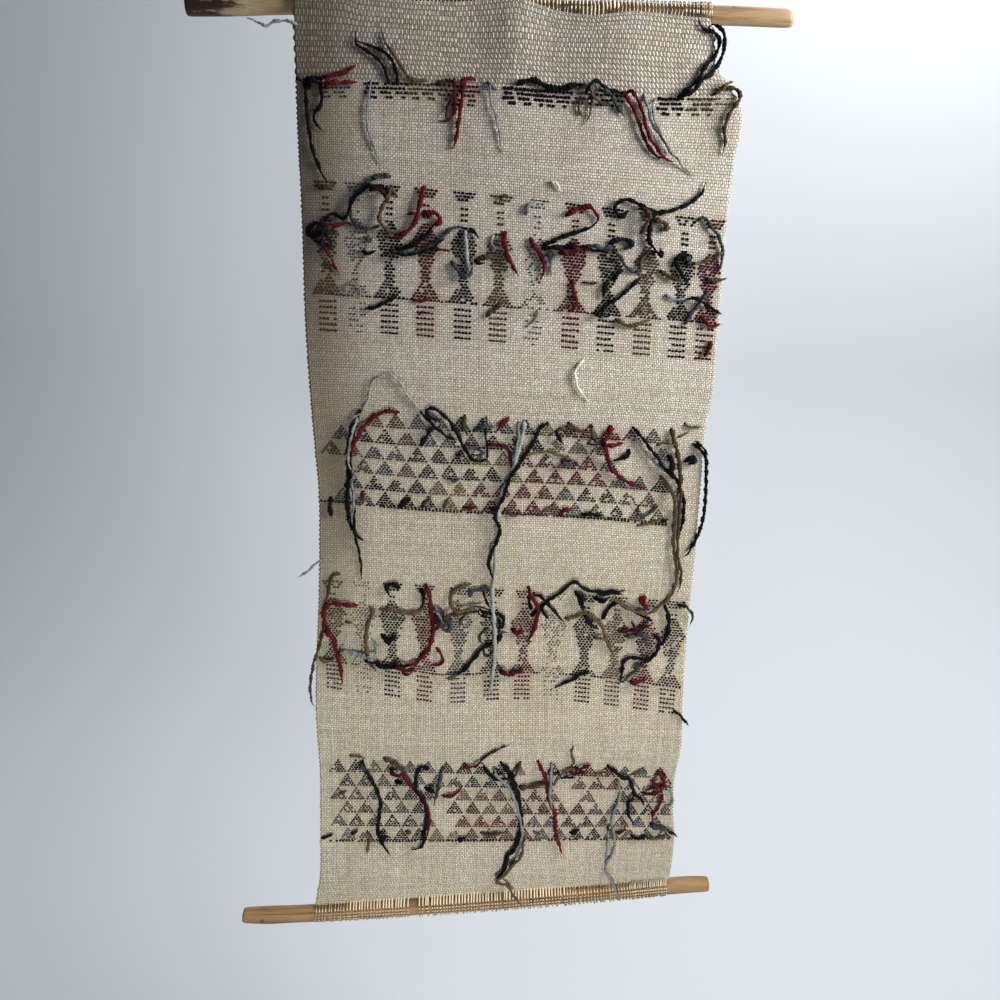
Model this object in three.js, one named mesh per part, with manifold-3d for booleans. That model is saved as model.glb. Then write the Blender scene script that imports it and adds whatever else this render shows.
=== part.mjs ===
// A hand-woven cream hanging on two natural sticks, showing the side on which its brocade yarns end.
// Millimetres. X runs to the viewer's right, Y away from the viewer and Z up. The origin is on the
// top stick, midway along it. A place on the cloth is given as x and as down, the distance below that.

import * as THREE from 'three';
import { mergeVertices } from 'three/addons/utils/BufferGeometryUtils.js';
import Module from 'manifold-3d';

const wasm = await Module();
wasm.setup();

// Driving dimensions

const CLOTH_THICK = 2;
const CLOTH_Y = -10;            // middle of the cloth, which hangs just in front of the top stick
const CLOTH_MIDDLE_X = 22;      // the cloth hangs a little right of the sticks' middle
const CLOTH_COLUMNS = 16;
const CLOTH_ROWS = 32;
const TOP_ROD_Y = 0;
const BOTTOM_ROD_Y = -9;
const ROD_SIDES = 12;
const GAP = 0.4;                // least gap between one piece and the next
const LOOP_THICK = 1.6;         // a warp loop round a stick
const LOOP_STAND = 2;           // from a stick's surface to the middle of a loop
const LOOP_STEPS = 6;
const TOP_LOOPS = 30;
const BOTTOM_LOOPS = 36;
const LOOP_STRIP = 2.3;         // the square strip that a stick's loops start from
const FLOAT_HIGH = 2.2;         // a float row, along the cloth's face
const FLOAT_THICK = 1;
const FLOAT_STAND = 1.4;        // from the cloth's face to the middle of a float row
const STRIP_STEP = 60;
const ROOT_RADIUS = 0.5;        // a yarn end where it leaves its float row
const ROOT_STEP = 2.5;
const YARN_STAND = 2.5;         // from the cloth's face to the near side of a yarn end that lies free
const YARN_MOST = 13;           // the furthest that crossing yarn ends pile up
const YARN_CLIMB = 0.7;         // how steeply a yarn end rises over another
const YARN_STEP = 15;
const YARN_TURN = 52;           // degrees turned in one step, at most
const YARN_SIDES = 3;
const YARN_TIP = 0.6;           // share of its thickness left at a yarn end's tip
const YARN_NEAR = 1;            // yarns passing this close count as crossing
const UPRIGHT_THIN = 0.8;       // a float row's uprights, as a share of its thickness
const LOOPS_CLEAR = 12;         // stand of a yarn end that hangs over the bottom stick's loops
const LOOPS_ABOVE = 14;         // where it starts to stand so, above the bottom stick's axis

// The two sticks, a row for each section: x, down, radius
const TOP_ROD = [
  [-235, 5.0, 6.4], [-214, 3.6, 7.0], [-196, 2.2, 7.6], [-176, 1.4, 7.1], [-110, -0.8, 6.9],
  [-40, -2.2, 7.1], [40, -3.1, 6.9], [110, -4.2, 7.2], [176, -4.9, 7.0], [212, -5.0, 6.6], [235, -5.0, 6.3],
];
const BOTTOM_ROD = [
  [-227, 820.0, 7.0], [-204, 819.4, 7.9], [-178, 818.0, 7.6], [-130, 814.6, 7.9], [-70, 810.2, 7.8],
  [0, 804.4, 7.9], [70, 797.8, 7.8], [140, 790.2, 7.9], [196, 783.8, 7.6], [222, 781.6, 7.4], [238, 781.0, 6.9],
];
const TOP_ROD_SLANT = 0.35;     // the right end of the top stick is sawn at a slant

// Where the cloth's picks run: down at mid-width, left edge x, right edge x, fall per mm to the right
const WEFTS = [
  [-1, -150, 168, 0.01], [10, -151, 173, 0], [30, -151.5, 177, 0], [48, -151, 189, 0],
  [65, -151, 198.5, 0], [95, -151, 197.5, 0.01], [133, -150.5, 196, 0.02], [200, -150, 196.5, 0.02],
  [245, -149.5, 197, 0.02], [295, -147, 196, 0.025], [315, -146, 193.6, 0.03], [350, -144, 194, 0.035],
  [392, -141.5, 194, 0.04], [430, -142, 194.4, 0.045], [475, -143.5, 193.8, 0.045],
  [515, -145.5, 194, 0.05], [560, -148, 195, 0.055], [592, -149, 196.5, 0.05], [622, -148.5, 197.3, 0.03],
  [656, -147, 194, 0.02], [690, -147.5, 195, 0.015], [729, -148.5, 199, 0.01], [762, -149.8, 199, -0.03],
  [790.5, -155, 197.5, -0.089],
];

// The uneven upper edge: x, how far below the straight line it lies
const UPPER_EDGE = [
  [-151, -8], [-112, -7], [-102, -1], [-60, 1], [-30, 0], [18, -5], [50, 2], [78, 4.5], [110, 0], [172, 1],
];
const UPPER_EDGE_FADE = 24;

// Soft folds and swells: x, down, half width, half height, rise towards the viewer
const FOLDS = [
  [18, 14, 15, 40, 5], [102, 12, 26, 42, 4.5], [-66, 12, 30, 34, 2.5], [-120, 40, 18, 60, 1.5],
  [196, 66, 16, 22, 4], [60, 112, 60, 18, 2], [-90, 108, 40, 16, 1.5], [30, 285, 110, 20, 3],
  [-110, 290, 24, 30, -2], [80, 435, 80, 22, 3], [-90, 440, 36, 26, -2], [-20, 612, 110, 22, 2.5],
  [150, 620, 40, 26, 2], [40, 765, 120, 16, 1.5],
];
const RIGHT_CURL = { down: 36, half: 11, wide: 24, back: 7 };   // the gathered upper right edge
const LEFT_CURL = { down: 170, half: 60, wide: 22, back: 4 };  // the left edge, which turns back softly

// Loose yarn ends, a row for each: the float row that holds it, x, length, its heading at the start,
// the middle and the end, and its thickness. Heading 0 is straight down, 90 to the right, 180 up.
const BANDS = [
  {
    name: 'band_1_tails', fall: 0, rows: [57], step: 18, uprights: [],
    tails: [
      [57, -143, 74, 3, 8, 25, 3], [57, -131, 38, -5, -30, 40, 3], [57, -93, 62, -15, 2, 16, 2],
      [57, -79, 40, -155, -135, -118, 3], [57, -72, 44, -165, -125, -100, 3],
      [57, -50, 56, -90, -140, -160, 3], [57, -29, 32, 0, -5, -60, 3], [57, -24, 46, 3, 0, -10, 3],
      [57, 0, 52, 8, 18, 16, 2], [57, 22, 54, 85, 72, 98, 5], [57, 70, 36, 50, 10, -35, 3],
      [57, 76, 38, 120, 75, 85, 3.5], [57, 92, 24, 40, 40, 40, 4], [57, 103, 70, 43, 28, 80, 3],
      [57, 108, 62, 50, 20, 50, 3], [57, 127, 70, 10, 25, 50, 2.5], [57, 148, 75, 130, 160, 235, 3.5],
      [57, 158, 62, 137, 162, 230, 3.5], [57, 172, 72, 105, -10, 5, 3],
    ],
  },
  {
    name: 'band_2_tails', fall: 0.019, rows: [134, 160, 180, 212], step: 48, uprights: [-124, -50, 26, 96, 165],
    tails: [
      [212, -115, 28, 150, 60, -40, 2], [212, -75, 26, -65, -70, -70, 3], [212, 72, 26, 20, 10, -20, 3],
      [212, 148, 47, 60, 85, 55, 3], [212, 183, 32, -40, -30, -28, 3], [180, -136, 42, 170, 90, 10, 4],
      [180, -130, 26, 15, 18, 22, 2], [180, -71, 36, 115, 125, 135, 4], [180, -62, 66, 100, 135, 50, 4],
      [180, -26, 30, 25, 50, 130, 3.5], [180, 10, 32, 60, 40, 30, 3], [180, 45, 82, 105, 125, 255, 3.5],
      [180, 47, 72, 100, 88, 80, 4.5], [180, 55, 62, -25, -20, -12, 2], [180, 100, 28, 45, 55, 95, 3.5],
      [180, 105, 36, -25, -28, -25, 3], [180, 122, 62, 0, -55, 70, 3], [180, 138, 24, 45, 50, 55, 3],
      [180, 165, 32, -80, -10, 20, 3.5], [180, 167, 28, 90, 95, 118, 3], [180, 178, 24, 50, 88, 92, 3],
      [160, -15, 38, 0, 5, 25, 4.5], [160, 35, 42, 30, 25, 8, 3], [160, 97, 24, 80, 62, 60, 3.5],
      [134, -80, 78, -90, 0, 105, 3.5], [134, -76, 46, -30, 5, 65, 3], [134, -51, 62, -10, -10, -85, 3.5],
      [134, -45, 38, 30, 20, -100, 3], [134, 103, 78, 115, 75, 135, 3], [134, 130, 42, 0, 0, 8, 3],
      [134, 136, 30, 25, 20, -70, 3], [134, 172, 60, 30, 35, -20, 3],
    ],
  },
  {
    name: 'band_3_tails', fall: 0.03, rows: [318, 347, 394], step: 48, uprights: [-124, -50, 26, 96, 165],
    tails: [
      [394, 20, 24, 60, 85, 118, 2.5], [394, 140, 34, 180, 100, 45, 2.5], [347, 14, 26, 50, 20, -5, 3.5],
      [347, 38, 24, 105, 100, 115, 2], [347, 113, 28, 95, 130, 250, 3.5], [347, 160, 156, 12, 8, -45, 3],
      [347, 173, 122, 0, 8, 5, 3], [318, -108, 26, -40, -90, -200, 3], [318, -107, 122, -20, -5, 35, 4],
      [318, -103, 150, -18, 3, 5, 2.5], [318, -103, 88, 165, 80, 30, 4], [318, -99, 108, -30, -2, 12, 3.5],
      [318, -73, 62, -100, -40, -12, 3], [318, -51, 36, 15, 35, 60, 3], [318, -48, 84, 110, 22, 140, 3.5],
      [318, -42, 34, -20, -28, -25, 4], [318, 0, 32, 5, 8, -5, 2.5], [318, 35, 265, -16, -3, 0, 4],
      [318, 54, 160, -35, -14, 5, 3.5], [318, 68, 24, -35, 10, 50, 3.5], [318, 99, 80, 8, 35, 78, 3.5],
      [318, 133, 135, 35, 36, -12, 3.5], [318, 138, 70, 25, 48, 35, 3], [318, 163, 80, 18, 6, -5, 4],
      [318, 184, 115, 42, -6, -35, 4],
    ],
  },
  {
    name: 'band_4_tails', fall: 0.045, rows: [470, 492, 516, 547], step: 48, uprights: [-124, -50, 26, 96, 165],
    tails: [
      [547, -122, 26, 100, 90, 80, 4], [547, -60, 48, -90, -92, -95, 5.5],
      [547, -58, 36, -40, -110, -270, 3], [547, -42, 28, 70, 150, 210, 3],
      [547, 100, 31, -62, -52, -58, 3.5], [516, 20, 60, -60, -45, -40, 3.5], [516, 152, 27, 30, 20, 5, 4],
      [516, 161, 64, 0, -90, -5, 3.5], [492, -112, 108, -100, 15, 2, 4], [492, -100, 72, 5, -8, 55, 3],
      [492, -90, 47, 92, 78, 145, 3.5], [492, -43, 34, 60, 32, -40, 4.5], [492, -30, 42, 105, 88, 70, 4.5],
      [492, 18, 24, 50, 0, -70, 3], [492, 80, 72, 115, 45, 30, 4], [492, 113, 56, 155, 85, 60, 3.5],
      [492, 155, 30, -60, -70, -80, 3.5], [470, -127, 138, -25, -10, 8, 3],
      [470, -72, 34, -105, -25, 40, 3.5], [470, -47, 94, 8, 0, -60, 3.5], [470, -7, 40, -75, -25, 45, 4.5],
      [470, 5, 24, 10, 18, 30, 3], [470, 47, 58, 25, 0, -22, 3.5], [470, 49, 40, 75, 50, 42, 3],
      [470, 86, 36, 10, 30, 65, 4], [470, 88, 31, 85, 85, 85, 5], [470, 118, 48, 55, 58, 65, 3],
      [470, 131, 100, -85, -95, -30, 3.5], [470, 178, 46, -75, 12, -25, 4], [470, 187, 28, 60, 25, 5, 3],
    ],
  },
  {
    name: 'band_5_tails', fall: 0.02, rows: [649, 681, 725], step: 48, uprights: [-124, -50, 26, 96, 165],
    tails: [
      [725, 49, 96, 5, -60, 50, 3], [725, 137, 90, 25, -22, 28, 3], [725, 150, 44, 70, 92, 112, 3],
      [725, 174, 31, 85, 65, 50, 3.5], [681, 68, 25, -75, -72, -75, 5], [681, 155, 41, -25, 0, 30, 3],
      [681, 187, 30, 120, 20, -90, 2.5], [649, -105, 114, 30, 3, 30, 3.5],
      [649, -87, 125, 75, 15, -45, 3.5], [649, -48, 31, -55, -8, 35, 4], [649, -30, 42, -18, -10, -12, 3.5],
      [649, -13, 56, 80, 128, 110, 3], [649, 15, 31, 65, 90, 120, 4.5], [649, 22, 125, 32, 10, -32, 3],
      [649, 33, 130, 15, 5, -35, 4], [649, 62, 106, 24, 8, 20, 3.5], [649, 97, 26, 205, 188, 160, 2.5],
      [649, 108, 37, -82, -95, -40, 3], [649, 128, 63, 52, 50, 5, 3.5], [649, 178, 26, 20, -5, -80, 5],
      [649, 182, 64, 0, -5, -12, 3],
    ],
  },
];

// Single ends that come straight out of the cloth: name, down, then the same columns as above
const LOOSE_ENDS = [
  ['loose_end_upper_left', 18, -148, 38, -88, -95, -92, 2.5],
  ['loose_end_below_band_2', 263, 80, 43, -35, 10, 40, 3],
  ['loose_end_left', 450, -141, 27, -60, -50, -55, 2.5],
  ['loose_end_right', 591, 188, 21, 40, 42, 50, 3],
];

// Reads column `column` of a table of sections at `at`, which runs along column 0.
function readTable(table, at, column) {
  const last = table.length - 1;
  let i = table.findIndex((row) => row[0] >= at);
  if (i < 0) i = last;
  i = Math.max(1, i);
  const [low, high] = [table[i - 1], table[i]];
  const share = THREE.MathUtils.clamp((at - low[0]) / (high[0] - low[0]), 0, 1);
  return THREE.MathUtils.lerp(low[column], high[column], share);
}

function bell(distance, half) {
  return Math.exp(-0.5 * (distance / half) ** 2);
}

// The middle of the cloth at a place on it, as y.
function clothY(x, down) {
  let y = CLOTH_Y;
  for (const [foldX, foldDown, wide, high, rise] of FOLDS) {
    y -= rise * bell(x - foldX, wide) * bell(down - foldDown, high);
  }
  const inRight = x - (readTable(WEFTS, down, 2) - RIGHT_CURL.wide);
  const inLeft = readTable(WEFTS, down, 1) + LEFT_CURL.wide - x;
  y += RIGHT_CURL.back * bell(down - RIGHT_CURL.down, RIGHT_CURL.half) * Math.max(0, inRight / RIGHT_CURL.wide) ** 2;
  y += LEFT_CURL.back * bell(down - LEFT_CURL.down, LEFT_CURL.half) * Math.max(0, inLeft / LEFT_CURL.wide) ** 2;
  return y;
}

function faceY(x, down) {
  return clothY(x, down) - CLOTH_THICK / 2;
}

// A closed body from rings of equal size, each a list of points, with a flat cap at both ends.
function loft(rings) {
  const size = rings[0].length;
  const positions = rings.flat().flatMap((point) => point.toArray());
  const faces = [];
  for (let i = 0; i + 1 < rings.length; i++) {
    for (let k = 0; k < size; k++) {
      const [a, b] = [i * size + k, i * size + (k + 1) % size];
      faces.push(a, b, a + size, b, b + size, a + size);
    }
  }
  const far = (rings.length - 1) * size;
  for (let k = 1; k + 1 < size; k++) {
    faces.push(0, k + 1, k, far, far + k, far + k + 1);
  }
  const geometry = new THREE.BufferGeometry();
  geometry.setAttribute('position', new THREE.Float32BufferAttribute(positions, 3));
  geometry.setIndex(faces);
  return geometry;
}

// A yarn or strip swept along points. `facing` is the side that its section's first axis looks to.
function sweep(points, facing, sectionAt) {
  return loft(points.map((point, i) => {
    const ahead = points[Math.min(i + 1, points.length - 1)];
    const behind = points[Math.max(i - 1, 0)];
    const along = new THREE.Vector3().subVectors(ahead, behind).normalize();
    const side = new THREE.Vector3().crossVectors(along, facing).normalize();
    const front = new THREE.Vector3().crossVectors(side, along);
    return sectionAt(i).map(([outward, sideways]) => point.clone()
      .addScaledVector(front, outward).addScaledVector(side, sideways));
  }));
}

function roundSection(radius, sides) {
  return Array.from({ length: sides }, (_, k) => {
    const angle = 2 * Math.PI * k / sides;
    return [radius * Math.cos(angle), radius * Math.sin(angle)];
  });
}

function flatSection(thick, wide) {
  const [t, w] = [thick / 2, wide / 2];
  return [[t, -w], [t, w], [-t, w], [-t, -w]];
}

function toSolid(geometry) {
  const shape = mergeVertices(geometry);
  return new wasm.Manifold(new wasm.Mesh({
    numProp: 3,
    vertProperties: new Float32Array(shape.attributes.position.array),
    triVerts: new Uint32Array(shape.index.array),
  }));
}

// Joins overlapping bodies into one.
function fuse(geometries) {
  const joined = geometries.map(toSolid).reduce((whole, next) => whole.add(next));
  const { vertProperties, triVerts } = joined.getMesh();
  const geometry = new THREE.BufferGeometry();
  geometry.setAttribute('position', new THREE.BufferAttribute(vertProperties, 3));
  geometry.setIndex(new THREE.BufferAttribute(triVerts, 1));
  return geometry;
}

const hanging = new THREE.Group();
hanging.name = 'woven_tapestry';

function addPiece(name, geometry, colour, roughness) {
  const material = new THREE.MeshStandardMaterial({ color: colour, roughness, metalness: 0 });
  const piece = new THREE.Mesh(geometry, material);
  piece.name = name;
  hanging.add(piece);
}

// The sticks

function rodGeometry(sections, rodY, endSlant) {
  const last = sections.length - 1;
  return loft(sections.map(([x, down, radius], i) => roundSection(radius, ROD_SIDES).map(([y, z]) => {
    const slant = i === last ? endSlant * z : 0;
    return new THREE.Vector3(x - slant, rodY + y, z - down);
  })));
}

addPiece('top_rod', rodGeometry(TOP_ROD, TOP_ROD_Y, TOP_ROD_SLANT), 0xc9a577, 0.6);
addPiece('bottom_rod', rodGeometry(BOTTOM_ROD, BOTTOM_ROD_Y, 0), 0xb98a52, 0.6);

// The cloth: a grid of warps and picks, front and back, joined round its edges

function clothPoint(column, row) {
  const level = THREE.MathUtils.lerp(WEFTS[0][0], WEFTS.at(-1)[0], row / CLOTH_ROWS);
  const left = readTable(WEFTS, level, 1);
  const right = readTable(WEFTS, level, 2);
  const x = THREE.MathUtils.lerp(left, right, column / CLOTH_COLUMNS);
  const fade = Math.max(0, 1 - (level - WEFTS[0][0]) / UPPER_EDGE_FADE);
  const down = level + readTable(WEFTS, level, 3) * (x - CLOTH_MIDDLE_X) + fade * readTable(UPPER_EDGE, x, 1);
  return new THREE.Vector3(x, clothY(x, down), -down);
}

function clothGeometry() {
  const rings = [];
  for (let row = 0; row <= CLOTH_ROWS; row++) {
    const ring = [];
    for (let column = 0; column <= CLOTH_COLUMNS; column++) ring.push([column, CLOTH_THICK / 2]);
    for (let column = CLOTH_COLUMNS; column >= 0; column--) ring.push([column, -CLOTH_THICK / 2]);
    rings.push(ring.map(([column, off]) => clothPoint(column, row).add(new THREE.Vector3(0, off, 0))));
  }
  const sides = loft(rings);
  // The upper and lower edges are strips between the back and the front, in place of fans.
  const ringSize = rings[0].length;
  const body = Array.from(sides.index.array).slice(0, 6 * ringSize * CLOTH_ROWS);
  const far = ringSize * CLOTH_ROWS;
  for (let column = 0; column < CLOTH_COLUMNS; column++) {
    const [a, b] = [column, column + 1];
    const [frontA, frontB] = [ringSize - 1 - a, ringSize - 1 - b];
    body.push(a, frontB, b, a, frontA, frontB);
    body.push(far + a, far + b, far + frontB, far + a, far + frontB, far + frontA);
  }
  sides.setIndex(body);
  return sides;
}

addPiece('cloth', clothGeometry(), 0xd8ccb4, 0.95);

// The warp loops: each goes most of the way round its stick, from one narrow strip at the back

const ALONG_X = new THREE.Vector3(1, 0, 0);
const TOP_STRIP_ANGLE = 300;
const BOTTOM_STRIP_ANGLE = 125;
const BOTTOM_LOOP_END = 415;
const LOWEST_SINE = -0.1;       // of a top loop's end angle
const HIGHEST_SINE = 0.85;

// Angle 0 is the stick's front, 90 its top, 180 its back and 270 its underside.
function aroundRod(sections, rodY, x, angle, out) {
  const turn = THREE.MathUtils.degToRad(angle);
  const reach = readTable(sections, x, 2) + out;
  return new THREE.Vector3(x, rodY - reach * Math.cos(turn), reach * Math.sin(turn) - readTable(sections, x, 1));
}

function loopsGeometry({ sections, rodY, from, to, count, stripAngle, endAngle }) {
  const stripStations = Math.ceil((to - from) / STRIP_STEP);
  const overhang = LOOP_THICK;
  const strip = Array.from({ length: stripStations + 1 }, (_, i) => {
    const x = THREE.MathUtils.lerp(from - overhang, to + overhang, i / stripStations);
    return aroundRod(sections, rodY, x, stripAngle, LOOP_STAND);
  });
  const axisFacing = aroundRod(sections, rodY, 0, stripAngle, 1).sub(aroundRod(sections, rodY, 0, stripAngle, 0));
  const bodies = [sweep(strip, axisFacing, () => flatSection(LOOP_STRIP, LOOP_STRIP))];
  for (let i = 0; i < count; i++) {
    const x = THREE.MathUtils.lerp(from, to, i / (count - 1));
    const end = endAngle(x);
    const path = Array.from({ length: LOOP_STEPS + 1 }, (_, k) => aroundRod(
      sections, rodY, x, THREE.MathUtils.lerp(stripAngle, end, k / LOOP_STEPS), LOOP_STAND));
    bodies.push(sweep(path, ALONG_X, () => roundSection(LOOP_THICK / 2, YARN_SIDES)));
  }
  return fuse(bodies);
}

// A top loop ends just above the cloth's upper edge, and never in front of the stick where the
// cloth stands higher than that.
function topLoopEnd(x) {
  const reach = readTable(TOP_ROD, x, 2) + LOOP_STAND;
  const edge = WEFTS[0][0] + readTable(UPPER_EDGE, x, 1) - LOOP_THICK;
  const rise = (readTable(TOP_ROD, x, 1) - edge) / reach;
  return THREE.MathUtils.radToDeg(Math.asin(THREE.MathUtils.clamp(rise, LOWEST_SINE, HIGHEST_SINE)));
}

addPiece('top_loops', loopsGeometry({
  sections: TOP_ROD, rodY: TOP_ROD_Y, from: -103, to: 166, count: TOP_LOOPS,
  stripAngle: TOP_STRIP_ANGLE, endAngle: topLoopEnd,
}), 0xcdb994, 0.9);
addPiece('bottom_loops', loopsGeometry({
  sections: BOTTOM_ROD, rodY: BOTTOM_ROD_Y, from: -153, to: 195, count: BOTTOM_LOOPS,
  stripAngle: BOTTOM_STRIP_ANGLE, endAngle: () => BOTTOM_LOOP_END,
}), 0xc4a876, 0.9);

// The yarn ends and the float rows that hold them

const TO_VIEWER = new THREE.Vector3(0, -1, 0);

// The places that a yarn end passes, spaced along it, as its heading turns.
function yarnPath(x, down, long, start, middle, end) {
  const turned = Math.abs(middle - start) + Math.abs(end - middle);
  const steps = Math.max(2, Math.round(long / YARN_STEP), Math.ceil(turned / YARN_TURN));
  const places = [{ x, down }];
  const goOn = (length, t) => {
    const heading = THREE.MathUtils.degToRad(
      start * (1 - t) * (1 - 2 * t) + middle * 4 * t * (1 - t) + end * t * (2 * t - 1));
    const before = places.at(-1);
    places.push({ x: before.x + length * Math.sin(heading), down: before.down + length * Math.cos(heading) });
  };
  goOn(ROOT_STEP, 0);
  for (let i = 0; i < steps; i++) goOn((long - ROOT_STEP) / steps, (i + 0.5) / steps);
  return places;
}

// The least distance between two short stretches, seen from the front, tested at a few places on each.
const TESTED = [0, 0.25, 0.5, 0.75, 1];

function stretchGap(a, b, c, d) {
  let least = Infinity;
  for (const s of TESTED) {
    for (const t of TESTED) {
      const across = THREE.MathUtils.lerp(a.x, b.x, s) - THREE.MathUtils.lerp(c.x, d.x, t);
      const below = THREE.MathUtils.lerp(a.down, b.down, s) - THREE.MathUtils.lerp(c.down, d.down, t);
      least = Math.min(least, Math.hypot(across, below));
    }
  }
  return least;
}

// Every stretch of yarn laid so far: its two places, its highest stand and its radius.
const laid = [];

// Stands a yarn end off the cloth: it leaves its root, lies free, and passes over what was laid before.
function standYarn(places, radius, rootStand) {
  const rest = YARN_STAND + radius;
  const stands = places.map(({ x, down }) => {
    const overLoops = down > readTable(BOTTOM_ROD, x, 1) - LOOPS_ABOVE;
    return overLoops ? LOOPS_CLEAR : rest;
  });
  for (let i = 1; i + 1 < places.length; i++) {
    for (const other of laid) {
      const reach = radius + other.radius + GAP;
      if (stretchGap(places[i], places[i + 1], other.from, other.to) > reach + YARN_NEAR) continue;
      const over = Math.min(other.stand + reach, YARN_MOST);
      stands[i] = Math.max(stands[i], over);
      stands[i + 1] = Math.max(stands[i + 1], over);
    }
  }
  const step = Math.hypot(places[2].x - places[1].x, places[2].down - places[1].down);
  for (let i = 2; i < stands.length; i++) stands[i] = Math.max(stands[i], stands[i - 1] - YARN_CLIMB * step);
  for (let i = stands.length - 2; i > 0; i--) stands[i] = Math.max(stands[i], stands[i + 1] - YARN_CLIMB * step);
  stands[0] = rootStand;
  for (let i = 0; i + 1 < places.length; i++) {
    laid.push({ from: places[i], to: places[i + 1], stand: Math.max(stands[i], stands[i + 1]), radius });
  }
  return stands;
}

function yarnGeometry(x, down, long, start, middle, end, thick, rootStand) {
  const radius = thick / 2;
  const places = yarnPath(x, down, long, start, middle, end);
  const stands = standYarn(places, radius, rootStand);
  const points = places.map((place, i) => new THREE.Vector3(
    place.x, faceY(place.x, place.down) - stands[i], -place.down));
  const tip = places.length - 1;
  const radiusAt = (i) => (i === 0 ? ROOT_RADIUS : i === tip ? YARN_TIP * radius : radius);
  return sweep(points, TO_VIEWER, (i) => roundSection(radiusAt(i), YARN_SIDES));
}

function stripGeometry(ends, stations, thick) {
  const points = Array.from({ length: stations + 1 }, (_, i) => {
    const x = THREE.MathUtils.lerp(ends[0].x, ends[1].x, i / stations);
    const down = THREE.MathUtils.lerp(ends[0].down, ends[1].down, i / stations);
    return new THREE.Vector3(x, faceY(x, down) - FLOAT_STAND, -down);
  });
  return sweep(points, TO_VIEWER, () => flatSection(thick, FLOAT_HIGH));
}

function bandGeometry({ rows, fall, step, uprights, tails }) {
  const levelAt = (row, x) => row + fall * x;
  const bodies = [];
  for (const row of rows) {
    const held = tails.filter((tail) => tail[0] === row).map((tail) => tail[1]);
    const from = Math.min(...held, ...uprights) - FLOAT_HIGH;
    const to = Math.max(...held, ...uprights) + FLOAT_HIGH;
    const ends = [{ x: from, down: levelAt(row, from) }, { x: to, down: levelAt(row, to) }];
    bodies.push(stripGeometry(ends, Math.ceil((to - from) / step), FLOAT_THICK));
  }
  for (let i = 0; i + 1 < rows.length; i++) {
    for (const x of uprights) {
      const ends = [rows[i], rows[i + 1]].map((row) => ({ x, down: levelAt(row, x) }));
      bodies.push(stripGeometry(ends, 1, UPRIGHT_THIN * FLOAT_THICK));
    }
  }
  for (const [row, x, long, start, middle, end, thick] of tails) {
    bodies.push(yarnGeometry(x, levelAt(row, x), long, start, middle, end, thick, FLOAT_STAND));
  }
  return fuse(bodies);
}

// The lower bands come first, so that the yarns of a band above hang over them.
for (const band of BANDS.toReversed()) addPiece(band.name, bandGeometry(band), 0x3a3230, 0.9);

for (const [name, down, x, long, start, middle, end, thick] of LOOSE_ENDS) {
  addPiece(name, yarnGeometry(x, down, long, start, middle, end, thick, thick / 2 + GAP), 0xcfc8ba, 0.9);
}

export default hanging;
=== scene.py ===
import math
import bpy
import numpy as np
from mathutils import Matrix


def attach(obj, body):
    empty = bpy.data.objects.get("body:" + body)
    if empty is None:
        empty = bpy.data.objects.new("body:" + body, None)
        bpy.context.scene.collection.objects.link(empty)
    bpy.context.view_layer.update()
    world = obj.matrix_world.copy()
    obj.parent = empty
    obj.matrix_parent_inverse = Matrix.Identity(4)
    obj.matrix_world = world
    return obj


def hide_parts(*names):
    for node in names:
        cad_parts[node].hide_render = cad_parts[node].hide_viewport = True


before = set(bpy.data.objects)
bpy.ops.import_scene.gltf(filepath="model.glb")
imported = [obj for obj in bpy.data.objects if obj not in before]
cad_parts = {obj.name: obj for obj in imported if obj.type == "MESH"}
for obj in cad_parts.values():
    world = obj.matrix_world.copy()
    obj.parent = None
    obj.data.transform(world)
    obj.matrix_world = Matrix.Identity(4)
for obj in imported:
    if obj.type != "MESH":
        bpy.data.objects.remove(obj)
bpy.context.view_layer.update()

# The two sticks: branches about as thick as a finger, whittled clean, left bare and sawn off at the ends.
# The upper one keeps a patch of dark bark on the left. The hanging's loops go round both of them.
MM = 0.001
STICK_SIDES = 36
STICK_STEP = 2.5
TOP_STICK_Y = 0.0
BOTTOM_STICK_Y = -9.0
# a row for each section: x, down, radius
TOP_STICK = [
    (-235, 5.0, 6.5), (-214, 3.6, 7.0), (-196, 2.2, 7.6), (-176, 1.4, 7.1), (-110, -0.8, 6.9),
    (-40, -2.2, 7.1), (40, -3.1, 6.9), (110, -4.2, 7.2), (176, -4.9, 7.0), (212, -5.0, 6.6), (235, -5.0, 6.4),
]
BOTTOM_STICK = [
    (-227, 820.0, 7.0), (-204, 819.4, 7.9), (-178, 818.0, 7.6), (-130, 814.6, 7.9), (-70, 810.2, 7.8),
    (0, 804.4, 7.9), (70, 797.8, 7.8), (140, 790.2, 7.9), (196, 783.8, 7.6), (222, 781.6, 7.4),
    (238, 781.0, 6.9),
]
# the upper stick's right end is sawn at a slant, by so much for each millimetre of height
TOP_STICK_SLANT = 0.35
SLANT_LONG = 8
RUBBED_RIM = (0.94, 0.985, 1.0)


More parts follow.
